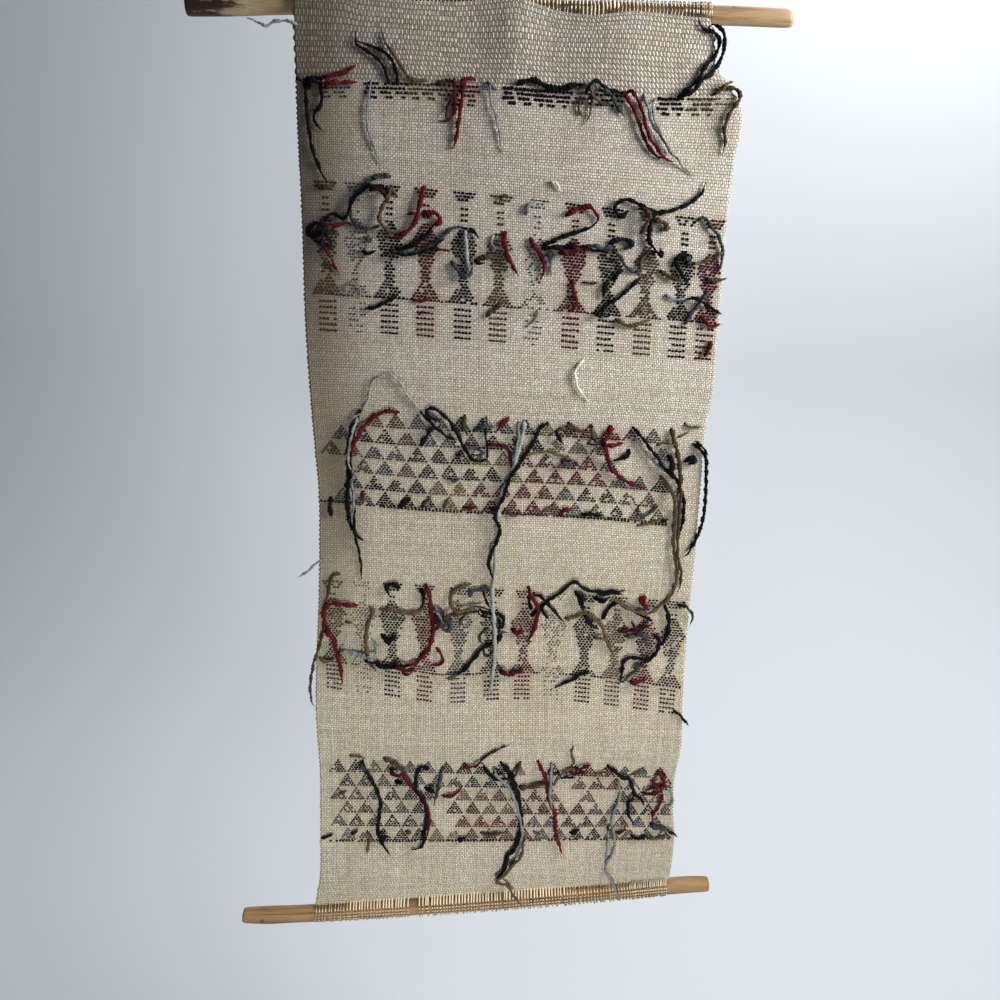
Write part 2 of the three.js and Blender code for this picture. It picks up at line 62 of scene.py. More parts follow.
def through(knots, values, at):
    """A smooth line through the values at the knots, read at other places, and straight beyond them.

    The values may also be a row for each place, which gives each place a line of its own.
    """
    knots = np.asarray(knots, float)
    at = np.asarray(at, float)
    values = np.broadcast_to(np.asarray(values, float), (*at.shape, len(knots)))
    slopes = np.gradient(values, knots, axis=-1)
    i = np.clip(np.searchsorted(knots, at) - 1, 0, len(knots) - 2)
    before = np.asarray(i)[..., None]
    (v0, v1), (s0, s1) = [[np.take_along_axis(lines, before + k, axis=-1)[..., 0] for k in (0, 1)]
                          for lines in (values, slopes)]
    span = knots[i + 1] - knots[i]
    t = np.clip((at - knots[i]) / span, 0, 1)
    smooth = v0 * (1 + 2 * t) * (1 - t) ** 2 + s0 * span * t * (1 - t) ** 2
    smooth += v1 * t * t * (3 - 2 * t) + s1 * span * t * t * (t - 1)
    beyond = at - np.clip(at, knots[0], knots[-1])
    return smooth + beyond * np.where(beyond < 0, slopes[..., 0], slopes[..., -1])


def read(table, column, at):
    return through([row[0] for row in table], [row[column] for row in table], at)


def tube_faces(rings, sides):
    """The faces of a tube whose points are given ring after ring."""
    faces = []
    for i in range(rings - 1):
        for k in range(sides):
            a = i * sides + k
            b = i * sides + (k + 1) % sides
            faces.append((a, b, b + sides, a + sides))
    return faces


def put_in_scene(name, data):
    thing = bpy.data.objects.new(name, data)
    bpy.context.scene.collection.objects.link(thing)
    return thing


def make_piece(name, points_mm, faces, materials, face_materials=None):
    mesh = bpy.data.meshes.new(name)
    mesh.from_pydata((np.asarray(points_mm, float) * MM).tolist(), [], faces)
    for material in materials:
        mesh.materials.append(material)
    mesh.polygons.foreach_set("use_smooth", [True] * len(mesh.polygons))
    if face_materials is not None:
        mesh.polygons.foreach_set("material_index", face_materials)
    mesh.update()
    piece = put_in_scene(name, mesh)
    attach(piece, "root")
    return piece


def srgb(red, green, blue):
    """A colour read off as 0 to 255, as the shader wants it."""
    shares = (red / 255, green / 255, blue / 255)
    linear = [c / 12.92 if c <= 0.04045 else ((c + 0.055) / 1.055) ** 2.4 for c in shares]
    return (*linear, 1.0)


def start_material(name, roughness):
    material = bpy.data.materials.new(name)
    material.use_nodes = True
    tree = material.node_tree
    surface = tree.nodes["Principled BSDF"]
    surface.inputs["Roughness"].default_value = roughness
    return material, tree, surface


def plug(tree, value, socket):
    if isinstance(value, bpy.types.NodeSocket):
        tree.links.new(value, socket)
    else:
        socket.default_value = value


def math_node(tree, operation, first, second=0.0, third=0.0):
    node = tree.nodes.new("ShaderNodeMath")
    node.operation = operation
    for value, socket in zip((first, second, third), node.inputs):
        plug(tree, value, socket)
    return node.outputs[0]


def times(tree, first, second):
    return math_node(tree, "MULTIPLY", first, second)


def mix_colour(tree, share, first, second):
    node = tree.nodes.new("ShaderNodeMix")
    node.data_type = "RGBA"
    plug(tree, share, node.inputs[0])
    plug(tree, first, node.inputs[6])
    plug(tree, second, node.inputs[7])
    return node.outputs[2]


def here(tree):
    """The place in the hanging's own frame, in metres."""
    return tree.nodes.new("ShaderNodeTexCoord").outputs["Object"]


def parts_of(tree, vector):
    node = tree.nodes.new("ShaderNodeSeparateXYZ")
    tree.links.new(vector, node.inputs[0])
    return node.outputs


def noise(tree, per_metre, detail, distortion=0.0):
    """Cloudy noise, with so many clouds to the metre along each axis."""
    squeeze = tree.nodes.new("ShaderNodeMapping")
    squeeze.inputs["Scale"].default_value = per_metre
    tree.links.new(here(tree), squeeze.inputs["Vector"])
    node = tree.nodes.new("ShaderNodeTexNoise")
    node.inputs["Scale"].default_value = 1.0
    node.inputs["Detail"].default_value = detail
    node.inputs["Distortion"].default_value = distortion
    tree.links.new(squeeze.outputs["Vector"], node.inputs["Vector"])
    return node.outputs["Fac"]


def ease(tree, value, low, high, from_value=0.0, to_value=1.0):
    """A soft step from one value to the other as the input goes from low to high."""
    node = tree.nodes.new("ShaderNodeMapRange")
    node.interpolation_type = "SMOOTHSTEP"
    numbers = {"Value": value, "From Min": low, "From Max": high, "To Min": from_value, "To Max": to_value}
    for name, number in numbers.items():
        plug(tree, number, node.inputs[name])
    return node.outputs["Result"]


def add_bump(tree, surface, height, distance, strength):
    node = tree.nodes.new("ShaderNodeBump")
    node.inputs["Distance"].default_value = distance
    node.inputs["Strength"].default_value = strength
    plug(tree, height, node.inputs["Height"])
    tree.links.new(node.outputs["Normal"], surface.inputs["Normal"])


def near(tree, centre_mm, reach_mm, soft_mm):
    """One inside a ball round the centre, nothing outside it."""
    node = tree.nodes.new("ShaderNodeVectorMath")
    node.operation = "DISTANCE"
    tree.links.new(here(tree), node.inputs[0])
    node.inputs[1].default_value = [c * MM for c in centre_mm]
    return ease(tree, node.outputs["Value"], (reach_mm + soft_mm) * MM, (reach_mm - soft_mm) * MM)


def stick_wood(name, pale, warm, dark, knots, bark_to=None, painted_shade_under_loops=None):
    """Whittled wood with its grain and knots, bark left on up to bark_to, and painted shade under the loops.
    """
    material, tree, surface = start_material(name, 0.62)
    grain = noise(tree, (9, 210, 210), 6.0, 0.7)
    broad = noise(tree, (16, 60, 60), 3.0, 0.3)
    flecks = noise(tree, (70, 900, 900), 2.0)
    colour = mix_colour(tree, ease(tree, broad, 0.36, 0.64), pale, warm)
    colour = mix_colour(tree, ease(tree, grain, 0.50, 0.68, 0.0, 0.75), colour, dark)
    colour = mix_colour(tree, ease(tree, flecks, 0.60, 0.75, 0.0, 0.5), colour, dark)
    for centre, reach in knots:
        ring = near(tree, centre, 1.9 * reach, 1.1 * reach)
        colour = mix_colour(tree, times(tree, ring, 0.55), colour, dark)
        colour = mix_colour(tree, near(tree, centre, reach, 0.4), colour, srgb(46, 24, 14))
    if bark_to is not None:
        x = parts_of(tree, here(tree))["X"]
        ragged = math_node(tree, "MULTIPLY_ADD", noise(tree, (45, 160, 160), 5.0, 0.4), 0.075, x)
        bark = ease(tree, ragged, bark_to + 0.046, bark_to + 0.026)
        bark = times(tree, bark, ease(tree, noise(tree, (60, 320, 320), 4.0), 0.60, 0.66, 1.0, 0.25))
        colour = mix_colour(tree, bark, colour, srgb(44, 24, 9))
        # painted shade: the wood between the loops is darkened where the loops shade it
        soft = 0.006
        shaded = ease(tree, x, painted_shade_under_loops[0] - soft, painted_shade_under_loops[0] + soft)
        shaded = times(tree, shaded, ease(tree, x, painted_shade_under_loops[1] + soft, painted_shade_under_loops[1] - soft))
        colour = mix_colour(tree, times(tree, shaded, 0.75), colour, srgb(66, 42, 24))
    tree.links.new(colour, surface.inputs["Base Color"])
    add_bump(tree, surface, math_node(tree, "ADD", grain, flecks), 0.0006, 0.8)
    return material


def build_stick(name, node, sections, stick_y, slant, material, seed):
    """A stick through its sections, with the flats of the knife along it and a rubbed rim at both ends."""
    chance = np.random.default_rng(seed)
    stations = np.arange(sections[0][0], sections[-1][0] + 0.1, STICK_STEP)
    stations[-1] = sections[-1][0]
    angles = np.arange(STICK_SIDES) * 2 * math.pi / STICK_SIDES
    whittled = []
    for _ in range(6):
        whittled.append((chance.integers(2, 6), chance.uniform(0.01, 0.035), chance.uniform(0, 6.3),
                         chance.uniform(0, 0.04)))
    points = []
    for i, x in enumerate(stations):
        radius = read(sections, 2, x) * np.ones(STICK_SIDES)
        for lobes, depth, phase, drift in whittled:
            radius *= 1 + 0.6 * depth * np.cos(lobes * angles + phase + drift * x)
        radius *= RUBBED_RIM[min(i, len(stations) - 1 - i, 2)]
        y = radius * np.cos(angles)
        z = radius * np.sin(angles)
        lean = slant * z * max(0.0, 1 - (stations[-1] - x) / SLANT_LONG)
        points += np.stack([x - lean, stick_y + y, z - read(sections, 1, x)], axis=1).tolist()
    faces = tube_faces(len(stations), STICK_SIDES)
    last = (len(stations) - 1) * STICK_SIDES
    for ring, turn in ((0, -1), (last, 1)):
        rim = [ring + k for k in range(STICK_SIDES)]
        middle = len(points)
        points.append(np.mean([points[k] for k in rim], axis=0).tolist())
        for k in range(STICK_SIDES):
            pair = (rim[k], rim[(k + 1) % STICK_SIDES])
            faces.append((middle, *pair[::turn]))
    stick = make_piece(name, points, faces, [material])
    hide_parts(node)


top_wood = stick_wood(
    "top_stick_wood", srgb(180, 160, 128), srgb(150, 122, 84), srgb(92, 64, 38),
    [((-197, -6.5, 0.5), 1.9), ((188, -5.5, 9), 1.0)], bark_to=-0.198, painted_shade_under_loops=(-0.112, 0.166))
bottom_wood = stick_wood(
    "bottom_stick_wood", srgb(152, 118, 74), srgb(122, 90, 54), srgb(76, 50, 27),
    [((-207, -16.6, -820.5), 1.3), ((60, -16.5, -796), 1.6)])
build_stick("top_stick", "top_rod", TOP_STICK, TOP_STICK_Y, TOP_STICK_SLANT, top_wood, 3)
build_stick("bottom_stick", "bottom_rod", BOTTOM_STICK, BOTTOM_STICK_Y, 0.0, bottom_wood, 8)

# The cloth: hand-spun cream yarn in plain weave, woven on the warps that also make the loops, with a
# looser heading at the top where the picks stand further apart. Its left and right edges are selvedges.
WARPS = 216
HEADING_PICK = 3.5
PICK = 2.0
HEADING_TO = 55.0
FIRST_LEVEL = -1.0
LAST_LEVEL = 790.5
BACK_EVERY = 9          # the plain back has a column for every ninth warp
CLOTH_Y = -10.0
CLOTH_THICK = 1.7
RELIEF = 0.30           # how far a yarn rises where it passes over another
HEADING_RELIEF = 0.5
SELVEDGE = 0.45
# left and right edge of the cloth at each level: level, left x, right x
EDGES = [
    (-1, -150, 168), (10, -151, 173), (30, -151.5, 177), (48, -151, 189), (65, -151, 198.5),
    (95, -151, 197.5), (133, -150.5, 196), (200, -150, 196.5), (245, -149.5, 197), (295, -147, 196),
    (315, -146, 193.6), (350, -144, 194), (392, -141.5, 194), (430, -142, 194.4), (475, -143.5, 193.8),
    (515, -145.5, 194), (560, -148, 195), (592, -149, 196.5), (622, -148.5, 197.3), (656, -147, 194),
    (690, -147.5, 195), (729, -148.5, 199), (762, -149.8, 199), (790.5, -155, 197.5),
]
# how the picks run: level, then how far down they lie at seven places across
ACROSS = (-130, -80, -30, 20, 70, 120, 170)
PICKS = [
    (-1, -3, -2, -1.5, -1, -0.5, 0, 0.5), (30, 29.5, 29.5, 30, 30, 30, 30.5, 30.5),
    (57, 58, 56.5, 56, 57, 58, 59.5, 58.5), (72, 72, 70.5, 70.5, 71.5, 73, 75, 75),
    (100, 98, 98, 99, 100, 101.5, 103.5, 105), (137, 130, 131.5, 134.2, 137, 140.5, 144.5, 148),
    (163, 156, 157.5, 160, 163, 166.5, 170, 174), (204, 197, 198.5, 201, 204, 207, 210, 212),
    (223, 216.5, 218, 220, 222.5, 224.5, 227, 229.5), (252, 246.5, 247.5, 249.5, 252, 255, 258, 260.5),
    (290, 287, 287, 288, 290, 292, 294, 296), (327, 322, 325, 326.5, 327.5, 329, 331, 334),
    (398, 391, 395, 397.5, 398.5, 399.5, 402, 406), (435, 430, 432, 434, 435, 437, 439, 442),
    (471, 466, 467.5, 469.5, 471, 473.5, 476, 479), (528, 521, 524.5, 529, 528.5, 529, 532, 537.5),
    (578, 569.5, 575.5, 582, 578, 577.5, 581.5, 588), (610, 604, 607, 610, 610, 610, 613, 617),
    (650, 648.5, 649, 649.5, 650, 650.5, 651.5, 652.5), (729, 730, 730, 729.5, 729, 728, 727, 726.3),
    (790.5, 804, 799.6, 795.1, 790.7, 786.2, 781.8, 777.3),
]
# how far below its pick the cloth's upper edge hangs: x, down
UPPER_EDGE = [
    (-151, -8), (-112, -7), (-102, -1), (-60, 1), (-30, 0), (18, -5), (50, 2), (78, 4.5), (110, 0), (172, 1),
]
UPPER_EDGE_FADE = 24.0
# soft folds and swells: x, down, half width, half height, rise towards the viewer
FOLDS = [
    (18, 14, 15, 40, 5), (102, 12, 26, 42, 4.5), (-66, 12, 30, 34, 2.5), (-120, 40, 18, 60, 1.5),
    (196, 66, 16, 22, 4), (60, 112, 60, 18, 2), (-90, 108, 40, 16, 1.5), (30, 285, 110, 20, 3),
    (-110, 290, 24, 30, -2), (80, 435, 80, 22, 3), (-90, 440, 36, 26, -2), (-20, 612, 110, 22, 2.5),
    (150, 620, 40, 26, 2), (40, 765, 120, 16, 1.5),
]
# where an edge curls away from the viewer: down, half height, width, how far back
RIGHT_CURL = (36, 11, 24, 7)
LEFT_CURL = (170, 60, 22, 4)
WARP_WANDER = 0.12      # as a share of the space between two warps
PICK_WANDER = 0.1
SELVEDGE_WANDER = 0.25
cloth_chance = np.random.default_rng(11)


def down_at(level, x):
    """How far below the top stick a pick lies at x, for levels and places."""
    level, x = np.broadcast_arrays(np.asarray(level, float), np.asarray(x, float))
    lines = np.stack([read(PICKS, k + 1, level) for k in range(len(ACROSS))], axis=-1)
    fade = np.clip(1 - (level - FIRST_LEVEL) / UPPER_EDGE_FADE, 0, 1)
    return through(ACROSS, lines, x) + fade * np.interp(x, *zip(*UPPER_EDGE))


def bell(distance, half):
    return np.exp(-0.5 * (distance / half) ** 2)


def cloth_y(x, down):
    """The middle of the cloth, as it hangs in its folds."""
    x = np.asarray(x, float)
    down = np.asarray(down, float)
    y = np.full(np.broadcast(x, down).shape, CLOTH_Y)
    for fold_x, fold_down, wide, high, rise in FOLDS:
        y -= rise * bell(x - fold_x, wide) * bell(down - fold_down, high)
    for column, side, (curl_down, high, wide, back) in ((2, 1, RIGHT_CURL), (1, -1, LEFT_CURL)):
        inner = side * (x - (read(EDGES, column, np.clip(down, -1, 790)) - side * wide))
        y += back * bell(down - curl_down, high) * np.clip(inner / wide, 0, 1.1) ** 2
    return y


def face_y(x, down):
    return cloth_y(x, down) - CLOTH_THICK / 2


heading_rows = np.arange(FIRST_LEVEL, HEADING_TO, HEADING_PICK / 2)
plain_rows = np.linspace(HEADING_TO + 1.0, LAST_LEVEL, round((LAST_LEVEL - HEADING_TO) / PICK))
levels = np.concatenate([heading_rows, plain_rows])
in_heading = levels < HEADING_TO
picks_down = np.where(in_heading, (levels - FIRST_LEVEL) / HEADING_PICK + 0.25, 0)
picks_down[~in_heading] = round(picks_down.max()) + np.arange(len(plain_rows)) + 0.5
warps_across = np.arange(WARPS + 1)
warp_share = warps_across / WARPS + cloth_chance.normal(0, WARP_WANDER / WARPS, WARPS + 1)
warp_share[[0, -1]] = (0, 1)
loose_level = levels + cloth_chance.normal(0, PICK_WANDER, len(levels))
loose_level[[0, -1]] = (FIRST_LEVEL, LAST_LEVEL)
left_x = read(EDGES, 1, loose_level)[:, None]
right_x = read(EDGES, 2, loose_level)[:, None]
grid_x = left_x + (right_x - left_x) * warp_share[None, :]
over = np.where((np.floor(picks_down)[:, None] + warps_across[None, :]) % 2 == 0, 1.0, -1.0)
for column, outward in ((0, -1), (-1, 1)):
    turns = SELVEDGE * over[:, column] + np.abs(cloth_chance.normal(0, SELVEDGE_WANDER, len(levels)))
    grid_x[:, column] += outward * turns
grid_down = down_at(loose_level[:, None], grid_x)
uneven = cloth_chance.uniform(0.65, 1.35, WARPS + 1)[None, :]
uneven = uneven * cloth_chance.uniform(0.7, 1.3, len(levels))[:, None]
swell = np.where(in_heading, HEADING_RELIEF, RELIEF)[:, None] * over * uneven
middle = cloth_y(grid_x, grid_down)
back_columns = warps_across[::BACK_EVERY]
front = np.stack([grid_x, middle - CLOTH_THICK / 2 - swell, -grid_down], axis=2)
back = np.stack([grid_x, middle + CLOTH_THICK / 2, -grid_down], axis=2)[:, back_columns]
rows = len(levels)
wide = WARPS + 1
back_wide = len(back_columns)
back_start = rows * wide
cloth_points = np.concatenate([front.reshape(-1, 3), back.reshape(-1, 3)])
cloth_faces = []
for start, columns, order in ((0, wide, (0, 1, 2, 3)), (back_start, back_wide, (0, 3, 2, 1))):
    across, along = np.meshgrid(np.arange(columns - 1), np.arange(rows - 1))
    a = (start + along * columns + across).ravel()
    corners = (a, a + columns, a + columns + 1, a + 1)
    cloth_faces += np.stack([corners[k] for k in order], axis=1).tolist()
for row in range(rows - 1):
    f = row * wide
    b = back_start + row * back_wide
    cloth_faces.append((f, b, b + back_wide, f + wide))
    f += wide - 1
    b += back_wide - 1
    cloth_faces.append((f, f + wide, b + back_wide, b))
for row, turn in ((0, 1), (rows - 1, -1)):
    for k in range(back_wide - 1):
        edge = [row * wide + k * BACK_EVERY + i for i in range(BACK_EVERY + 1)]
        edge += [back_start + row * back_wide + k + 1, back_start + row * back_wide + k]
        cloth_faces.append(tuple(edge[::turn]))


def carried(tree, name):
    """What the mesh carries at each point under this name."""
    node = tree.nodes.new("ShaderNodeAttribute")
    node.attribute_name = name
    return node.outputs


def cloth_material():
    """Plain weave from the yarn counts that the mesh carries: bright floats, with painted shade in the darker
    dips and the open pores.
    """
    material, tree, surface = start_material("cream_weave", 0.92)
    warp, pick, heading = parts_of(tree, carried(tree, "yarn_count")["Vector"])
    off_middle = []
    floors = []
    for count in (warp, pick):
        share = math_node(tree, "FRACT", count)
        off_middle.append(math_node(tree, "ABSOLUTE", math_node(tree, "SUBTRACT", share, 0.5)))
        floors.append(math_node(tree, "FLOOR", count))
    odd = math_node(tree, "MODULO", math_node(tree, "ADD", *floors), 2.0)
    # painted shade: the pores between the yarns, the gaps along them and the dipping floats are darkened in
    # the colour
    pore = times(tree, ease(tree, off_middle[0], 0.20, 0.47), ease(tree, off_middle[1], 0.18, 0.47))
    warp_gap = times(tree, ease(tree, off_middle[0], 0.28, 0.5), 0.34)
    pick_gap = times(tree, ease(tree, off_middle[1], 0.30, 0.5), 0.30)
    gap = math_node(tree, "MAXIMUM", warp_gap, pick_gap)
    dip = math_node(tree, "SUBTRACT", 1.0, odd)
    shade = math_node(tree, "MULTIPLY_ADD", dip, ease(tree, heading, 0.0, 1.0, 0.30, 0.62), gap)
    shade = math_node(tree, "MAXIMUM", shade, pore)
    cell = tree.nodes.new("ShaderNodeCombineXYZ")
    for number, socket in zip(floors, cell.inputs):
        tree.links.new(number, socket)
    each_cell = tree.nodes.new("ShaderNodeTexWhiteNoise")
    tree.links.new(cell.outputs["Vector"], each_cell.inputs["Vector"])
    cell_tone = ease(tree, each_cell.outputs["Value"], 0.0, 1.0, 0.34, 0.0)
    pick_tone = ease(tree, noise(tree, (9, 9, 620), 2.0), 0.35, 0.65, 0.0, 0.50)
    warp_tone = ease(tree, noise(tree, (760, 9, 7), 2.0), 0.35, 0.65, 0.0, 0.45)
    stain = times(tree, ease(tree, noise(tree, (11, 11, 8), 4.0, 0.3), 0.52, 0.70), 0.45)
    fluff = noise(tree, (900, 900, 900), 2.0)
    x, _, z = parts_of(tree, here(tree))
    # painted shade: the cloth's upper left strip is darkened towards its left edge, fading out further down
    painted_shade_left = times(tree, ease(tree, x, -0.082, -0.136), ease(tree, z, -0.60, -0.40))
    dark_behind = times(tree, carried(tree, "dark_behind")["Fac"], 0.32)
    red_behind = times(tree, carried(tree, "red_behind")["Fac"], 0.42)
    colour = mix_colour(tree, ease(tree, z, -0.16, -0.50), srgb(228, 219, 205), srgb(226, 214, 182))
    for share, tint in (
            (stain, srgb(196, 180, 140)), (pick_tone, srgb(172, 158, 130)), (warp_tone, srgb(246, 240, 228)),
            (dark_behind, srgb(104, 102, 92)), (red_behind, srgb(196, 132, 128)),
            (times(tree, painted_shade_left, 0.72), srgb(116, 101, 74)), (cell_tone, srgb(112, 97, 72)),
            (shade, srgb(64, 52, 38)), (ease(tree, fluff, 0.3, 0.7, 0.0, 0.16), srgb(120, 106, 84))):
        colour = mix_colour(tree, share, colour, tint)
    tree.links.new(colour, surface.inputs["Base Color"])
    surface.inputs["Sheen Weight"].default_value = 0.12
    surface.inputs["Sheen Roughness"].default_value = 0.6
    relief = math_node(tree, "MULTIPLY_ADD", shade, -1.0, times(tree, fluff, 0.5))
    add_bump(tree, surface, relief, 0.0011, 0.9)
    return material


cloth = make_piece("cloth_weave", cloth_points, cloth_faces, [cloth_material()])
counts = np.zeros((len(cloth_points), 3))
for start, columns in ((0, warps_across), (back_start, back_columns)):
    side = counts[start:start + rows * len(columns)]
    side[:, 0] = np.tile(columns + 0.5, rows)
    side[:, 1] = np.repeat(picks_down, len(columns))
    side[:, 2] = np.repeat(in_heading, len(columns))
cloth.data.attributes.new("yarn_count", "FLOAT_VECTOR", "POINT").data.foreach_set("vector", counts.ravel())
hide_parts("cloth")

# The warp loops: the ends of the cloth's own warps, two-ply yarn, wound side by side over the top stick
# and under the bottom one, which is what holds the cloth to its sticks.
PLY_LOBES = 2
YARN_SIDES = 8
LOOP_SIDES = 6
LOOP_RADIUS = 0.72
BOTTOM_LOOP_THICKER = 1.3
LOOP_TWIST = 5.0
# from x, to x, spacing, and the gap where a stick is bare
TOP_LOOPS = (-104.0, 171.5, 2.95, None)
BOTTOM_LOOPS = (-153.5, 196.5, 3.0, (-62.0, -53.0))
CROWDED_FROM = 158.0
CROWDED_SPACING = 1.9


def sweep(points, radii, twist, sides=YARN_SIDES, lobe=0.15):
    """A closed yarn along the points: a round section with two plies that turn about it."""
    points = np.asarray(points, float)
    along = np.gradient(points, axis=0)
    along /= np.linalg.norm(along, axis=1)[:, None]
    travelled = np.concatenate([[0], np.cumsum(np.linalg.norm(np.diff(points, axis=0), axis=1))])
    side = np.cross(along[0], (0.31, -0.8, 0.52))
    side /= np.linalg.norm(side)
    angles = np.arange(sides) * 2 * math.pi / sides
    shape = 1 - lobe + lobe * np.cos(PLY_LOBES * angles)
    rings = []
    for point, way, radius, far in zip(points, along, radii, travelled):
        side = side - way * np.dot(side, way)
        side /= np.linalg.norm(side)
        other = np.cross(way, side)
        turn = angles + 2 * math.pi * far / twist
        ring = radius * shape
        rings.append(point + (ring * np.cos(turn))[:, None] * side + (ring * np.sin(turn))[:, None] * other)
    faces = tube_faces(len(points), sides)
    last = (len(points) - 1) * sides
    faces.append(tuple(range(sides))[::-1])
    faces.append(tuple(range(last, last + sides)))
    return np.concatenate(rings), faces


def gather(parts):
    """Several meshes, each its points and faces, as one."""
    points = []
    faces = []
    owner = []
    start = 0
    for number, (some_points, some_faces) in enumerate(parts):
        points.append(some_points)
        faces += [tuple(k + start for k in face) for face in some_faces]
        owner += [number] * len(some_faces)
        start += len(some_points)
    return np.concatenate(points), faces, owner


def yarn_material(name, colour, tips):
    """Spun fibre: streaks along the yarn, lighter and darker, with a little sheen on its fuzz."""
    material, tree, surface = start_material(name, 0.85)
    fibres = noise(tree, (1400, 1400, 1400), 3.0)
    lumps = noise(tree, (160, 160, 160), 2.0)
    shown = mix_colour(tree, ease(tree, fibres, 0.34, 0.68), colour, tips)
    shown = mix_colour(tree, ease(tree, lumps, 0.40, 0.70, 0.0, 0.5), shown, tips)
    tree.links.new(shown, surface.inputs["Base Color"])
    surface.inputs["Sheen Weight"].default_value = 0.02
    surface.inputs["Specular IOR Level"].default_value = 0.08
    surface.inputs["Sheen Roughness"].default_value = 0.5
    add_bump(tree, surface, fibres, 0.0004, 0.9)
    return material


def around(sections, stick_y, x, angle, out):
    """A place beside a stick: angle 0 is its front, 90 its top, 180 its back and 270 its underside."""
    turn = np.radians(angle)
    reach = read(sections, 2, x) + out
    height = reach * np.sin(turn) - read(sections, 1, x)
    return np.stack([np.full_like(turn, x), stick_y - reach * np.cos(turn), height], axis=-1)


def loop_places(from_x, to_x, spacing, bare, chance):
    """Where the loops sit along a stick, crowded at its right end."""
    places = []
    x = from_x
    while x < to_x:
        if bare is None or not bare[0] < x < bare[1]:
            places.append(x + chance.normal(0, 0.28))
        x += CROWDED_SPACING if x > CROWDED_FROM else spacing
    return places


def top_loops():
    """From the cloth's upper edge, up and over the stick, and down behind it."""
    chance = np.random.default_rng(21)
    loops = []
    for x in loop_places(*TOP_LOOPS, chance):
        lean = chance.normal(0, 1.0)
        radius = LOOP_RADIUS * chance.uniform(0.8, 1.2)
        out = 0.8 + chance.uniform(0, 0.5)
        edge_down = down_at(FIRST_LEVEL, x)
        edge = np.array([x, face_y(x, edge_down) + 0.7, -edge_down - 3.0])
        rise = (-edge_down + read(TOP_STICK, 1, x)) / (read(TOP_STICK, 2, x) + out)
        begin = math.degrees(math.asin(np.clip(rise, -0.2, 0.9))) + 4
        angles = np.linspace(begin, 262, 13)
        path = around(TOP_STICK, TOP_STICK_Y, x, angles, out)
        path[:, 0] += lean * np.linspace(0, 1, len(path))
        lift = np.clip(1 - (angles - begin) / 50, 0, 1)
        front_y = min(edge[1] + 0.4, TOP_STICK_Y - 1)
        path[:, 1] = path[:, 1] * (1 - lift) + np.minimum(path[:, 1], front_y) * lift
        path = np.concatenate([[edge], path])
        loops.append(sweep(path, np.full(len(path), radius), LOOP_TWIST, LOOP_SIDES))
    return loops


def bottom_loops():
    """From the front of the cloth's lower edge, under the stick and up again to its back."""
    chance = np.random.default_rng(22)
    loops = []
    for x in loop_places(*BOTTOM_LOOPS, chance):
        lean = chance.normal(0.3, 1.1)
        radius = BOTTOM_LOOP_THICKER * LOOP_RADIUS * chance.uniform(0.8, 1.15)
        out = 0.75 + chance.uniform(0, 0.5)
        edge_down = down_at(LAST_LEVEL, x)
        front_edge = np.array([x, face_y(x, edge_down) + 0.6, -edge_down + 2.5])
        angles = np.linspace(44, -226, 15)
        path = around(BOTTOM_STICK, BOTTOM_STICK_Y, x, angles, out)
        path[:, 0] += lean * np.sin(np.linspace(0, math.pi, len(path)))
        back_edge = front_edge + (0, 1.2, 0.5)
        path = np.concatenate([[front_edge], path, [back_edge]])
        loops.append(sweep(path, np.full(len(path), radius), LOOP_TWIST, LOOP_SIDES))
    return loops


top_loop_yarn = yarn_material("top_loop_yarn", srgb(206, 188, 154), srgb(236, 224, 196))
bottom_loop_yarn = yarn_material("bottom_loop_yarn", srgb(214, 194, 154), srgb(240, 226, 194))
for name, node, loops, material in (("top_warp_loops", "top_loops", top_loops(), top_loop_yarn),
                                    ("bottom_warp_loops", "bottom_loops", bottom_loops(), bottom_loop_yarn)):
    loop_points, loop_faces, _ = gather(loops)
    piece = make_piece(name, loop_points, loop_faces, [material])
    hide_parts(node)

# The brocade's floats on this side: short dashes of dyed yarn that show between the cream warps, in rows
# of triangles, hourglasses and blocks, woven in with the ground and so held by it.
DASH_WIDE = 3.0
DASH_HIGH = 2.25
DASH_PITCH = 3.15
DASH_RISE = 0.78
DASH_SINK = 0.35
DASH_CORNERS = 6
ROW = 2.45
BLOCK_ROW = 4.5
# a map of the cloth by the square millimetre: rows and columns, and where the middle of the top stick is
MAP_SHAPE = (960, 480)
MAP_FROM = (60, 240)
SHOW_THROUGH = 7
YARN_COLOURS = {
    "black": (srgb(5, 5, 6), srgb(17, 15, 16)),
    "red": (srgb(60, 6, 14), srgb(92, 18, 27)),
    "maroon": (srgb(42, 8, 14), srgb(66, 20, 26)),
    "brown": (srgb(44, 34, 23), srgb(76, 60, 42)),
    "olive": (srgb(60, 51, 34), srgb(92, 79, 55)),
    "slate": (srgb(30, 33, 36), srgb(66, 69, 72)),
    "grey": (srgb(92, 95, 95), srgb(132, 134, 133)),
    "ash": (srgb(122, 122, 117), srgb(158, 157, 152)),
    "navy": (srgb(12, 10, 24), srgb(32, 28, 48)),
    "cream": (srgb(190, 182, 164), srgb(220, 213, 197)),
}
YARNS = {name: yarn_material(name + "_yarn", *pair) for name, pair in YARN_COLOURS.items()}
YARN_NAMES = list(YARNS)
chart_chance = np.random.default_rng(5)
dashes = {f"band_{n}_floats": [] for n in range(1, 6)}


def lay_row(band, level, middle_x, count, colour, pitch=DASH_PITCH, size=1.0, missing=0.04):
    """One row of dashes, centred on middle_x."""
    for k in range(count):
        if chart_chance.uniform() < missing:
            continue
        x = middle_x + (k - (count - 1) / 2) * pitch + chart_chance.normal(0, 0.15)
        dashes[band].append((x, level + chart_chance.normal(0, 0.12), colour, size))


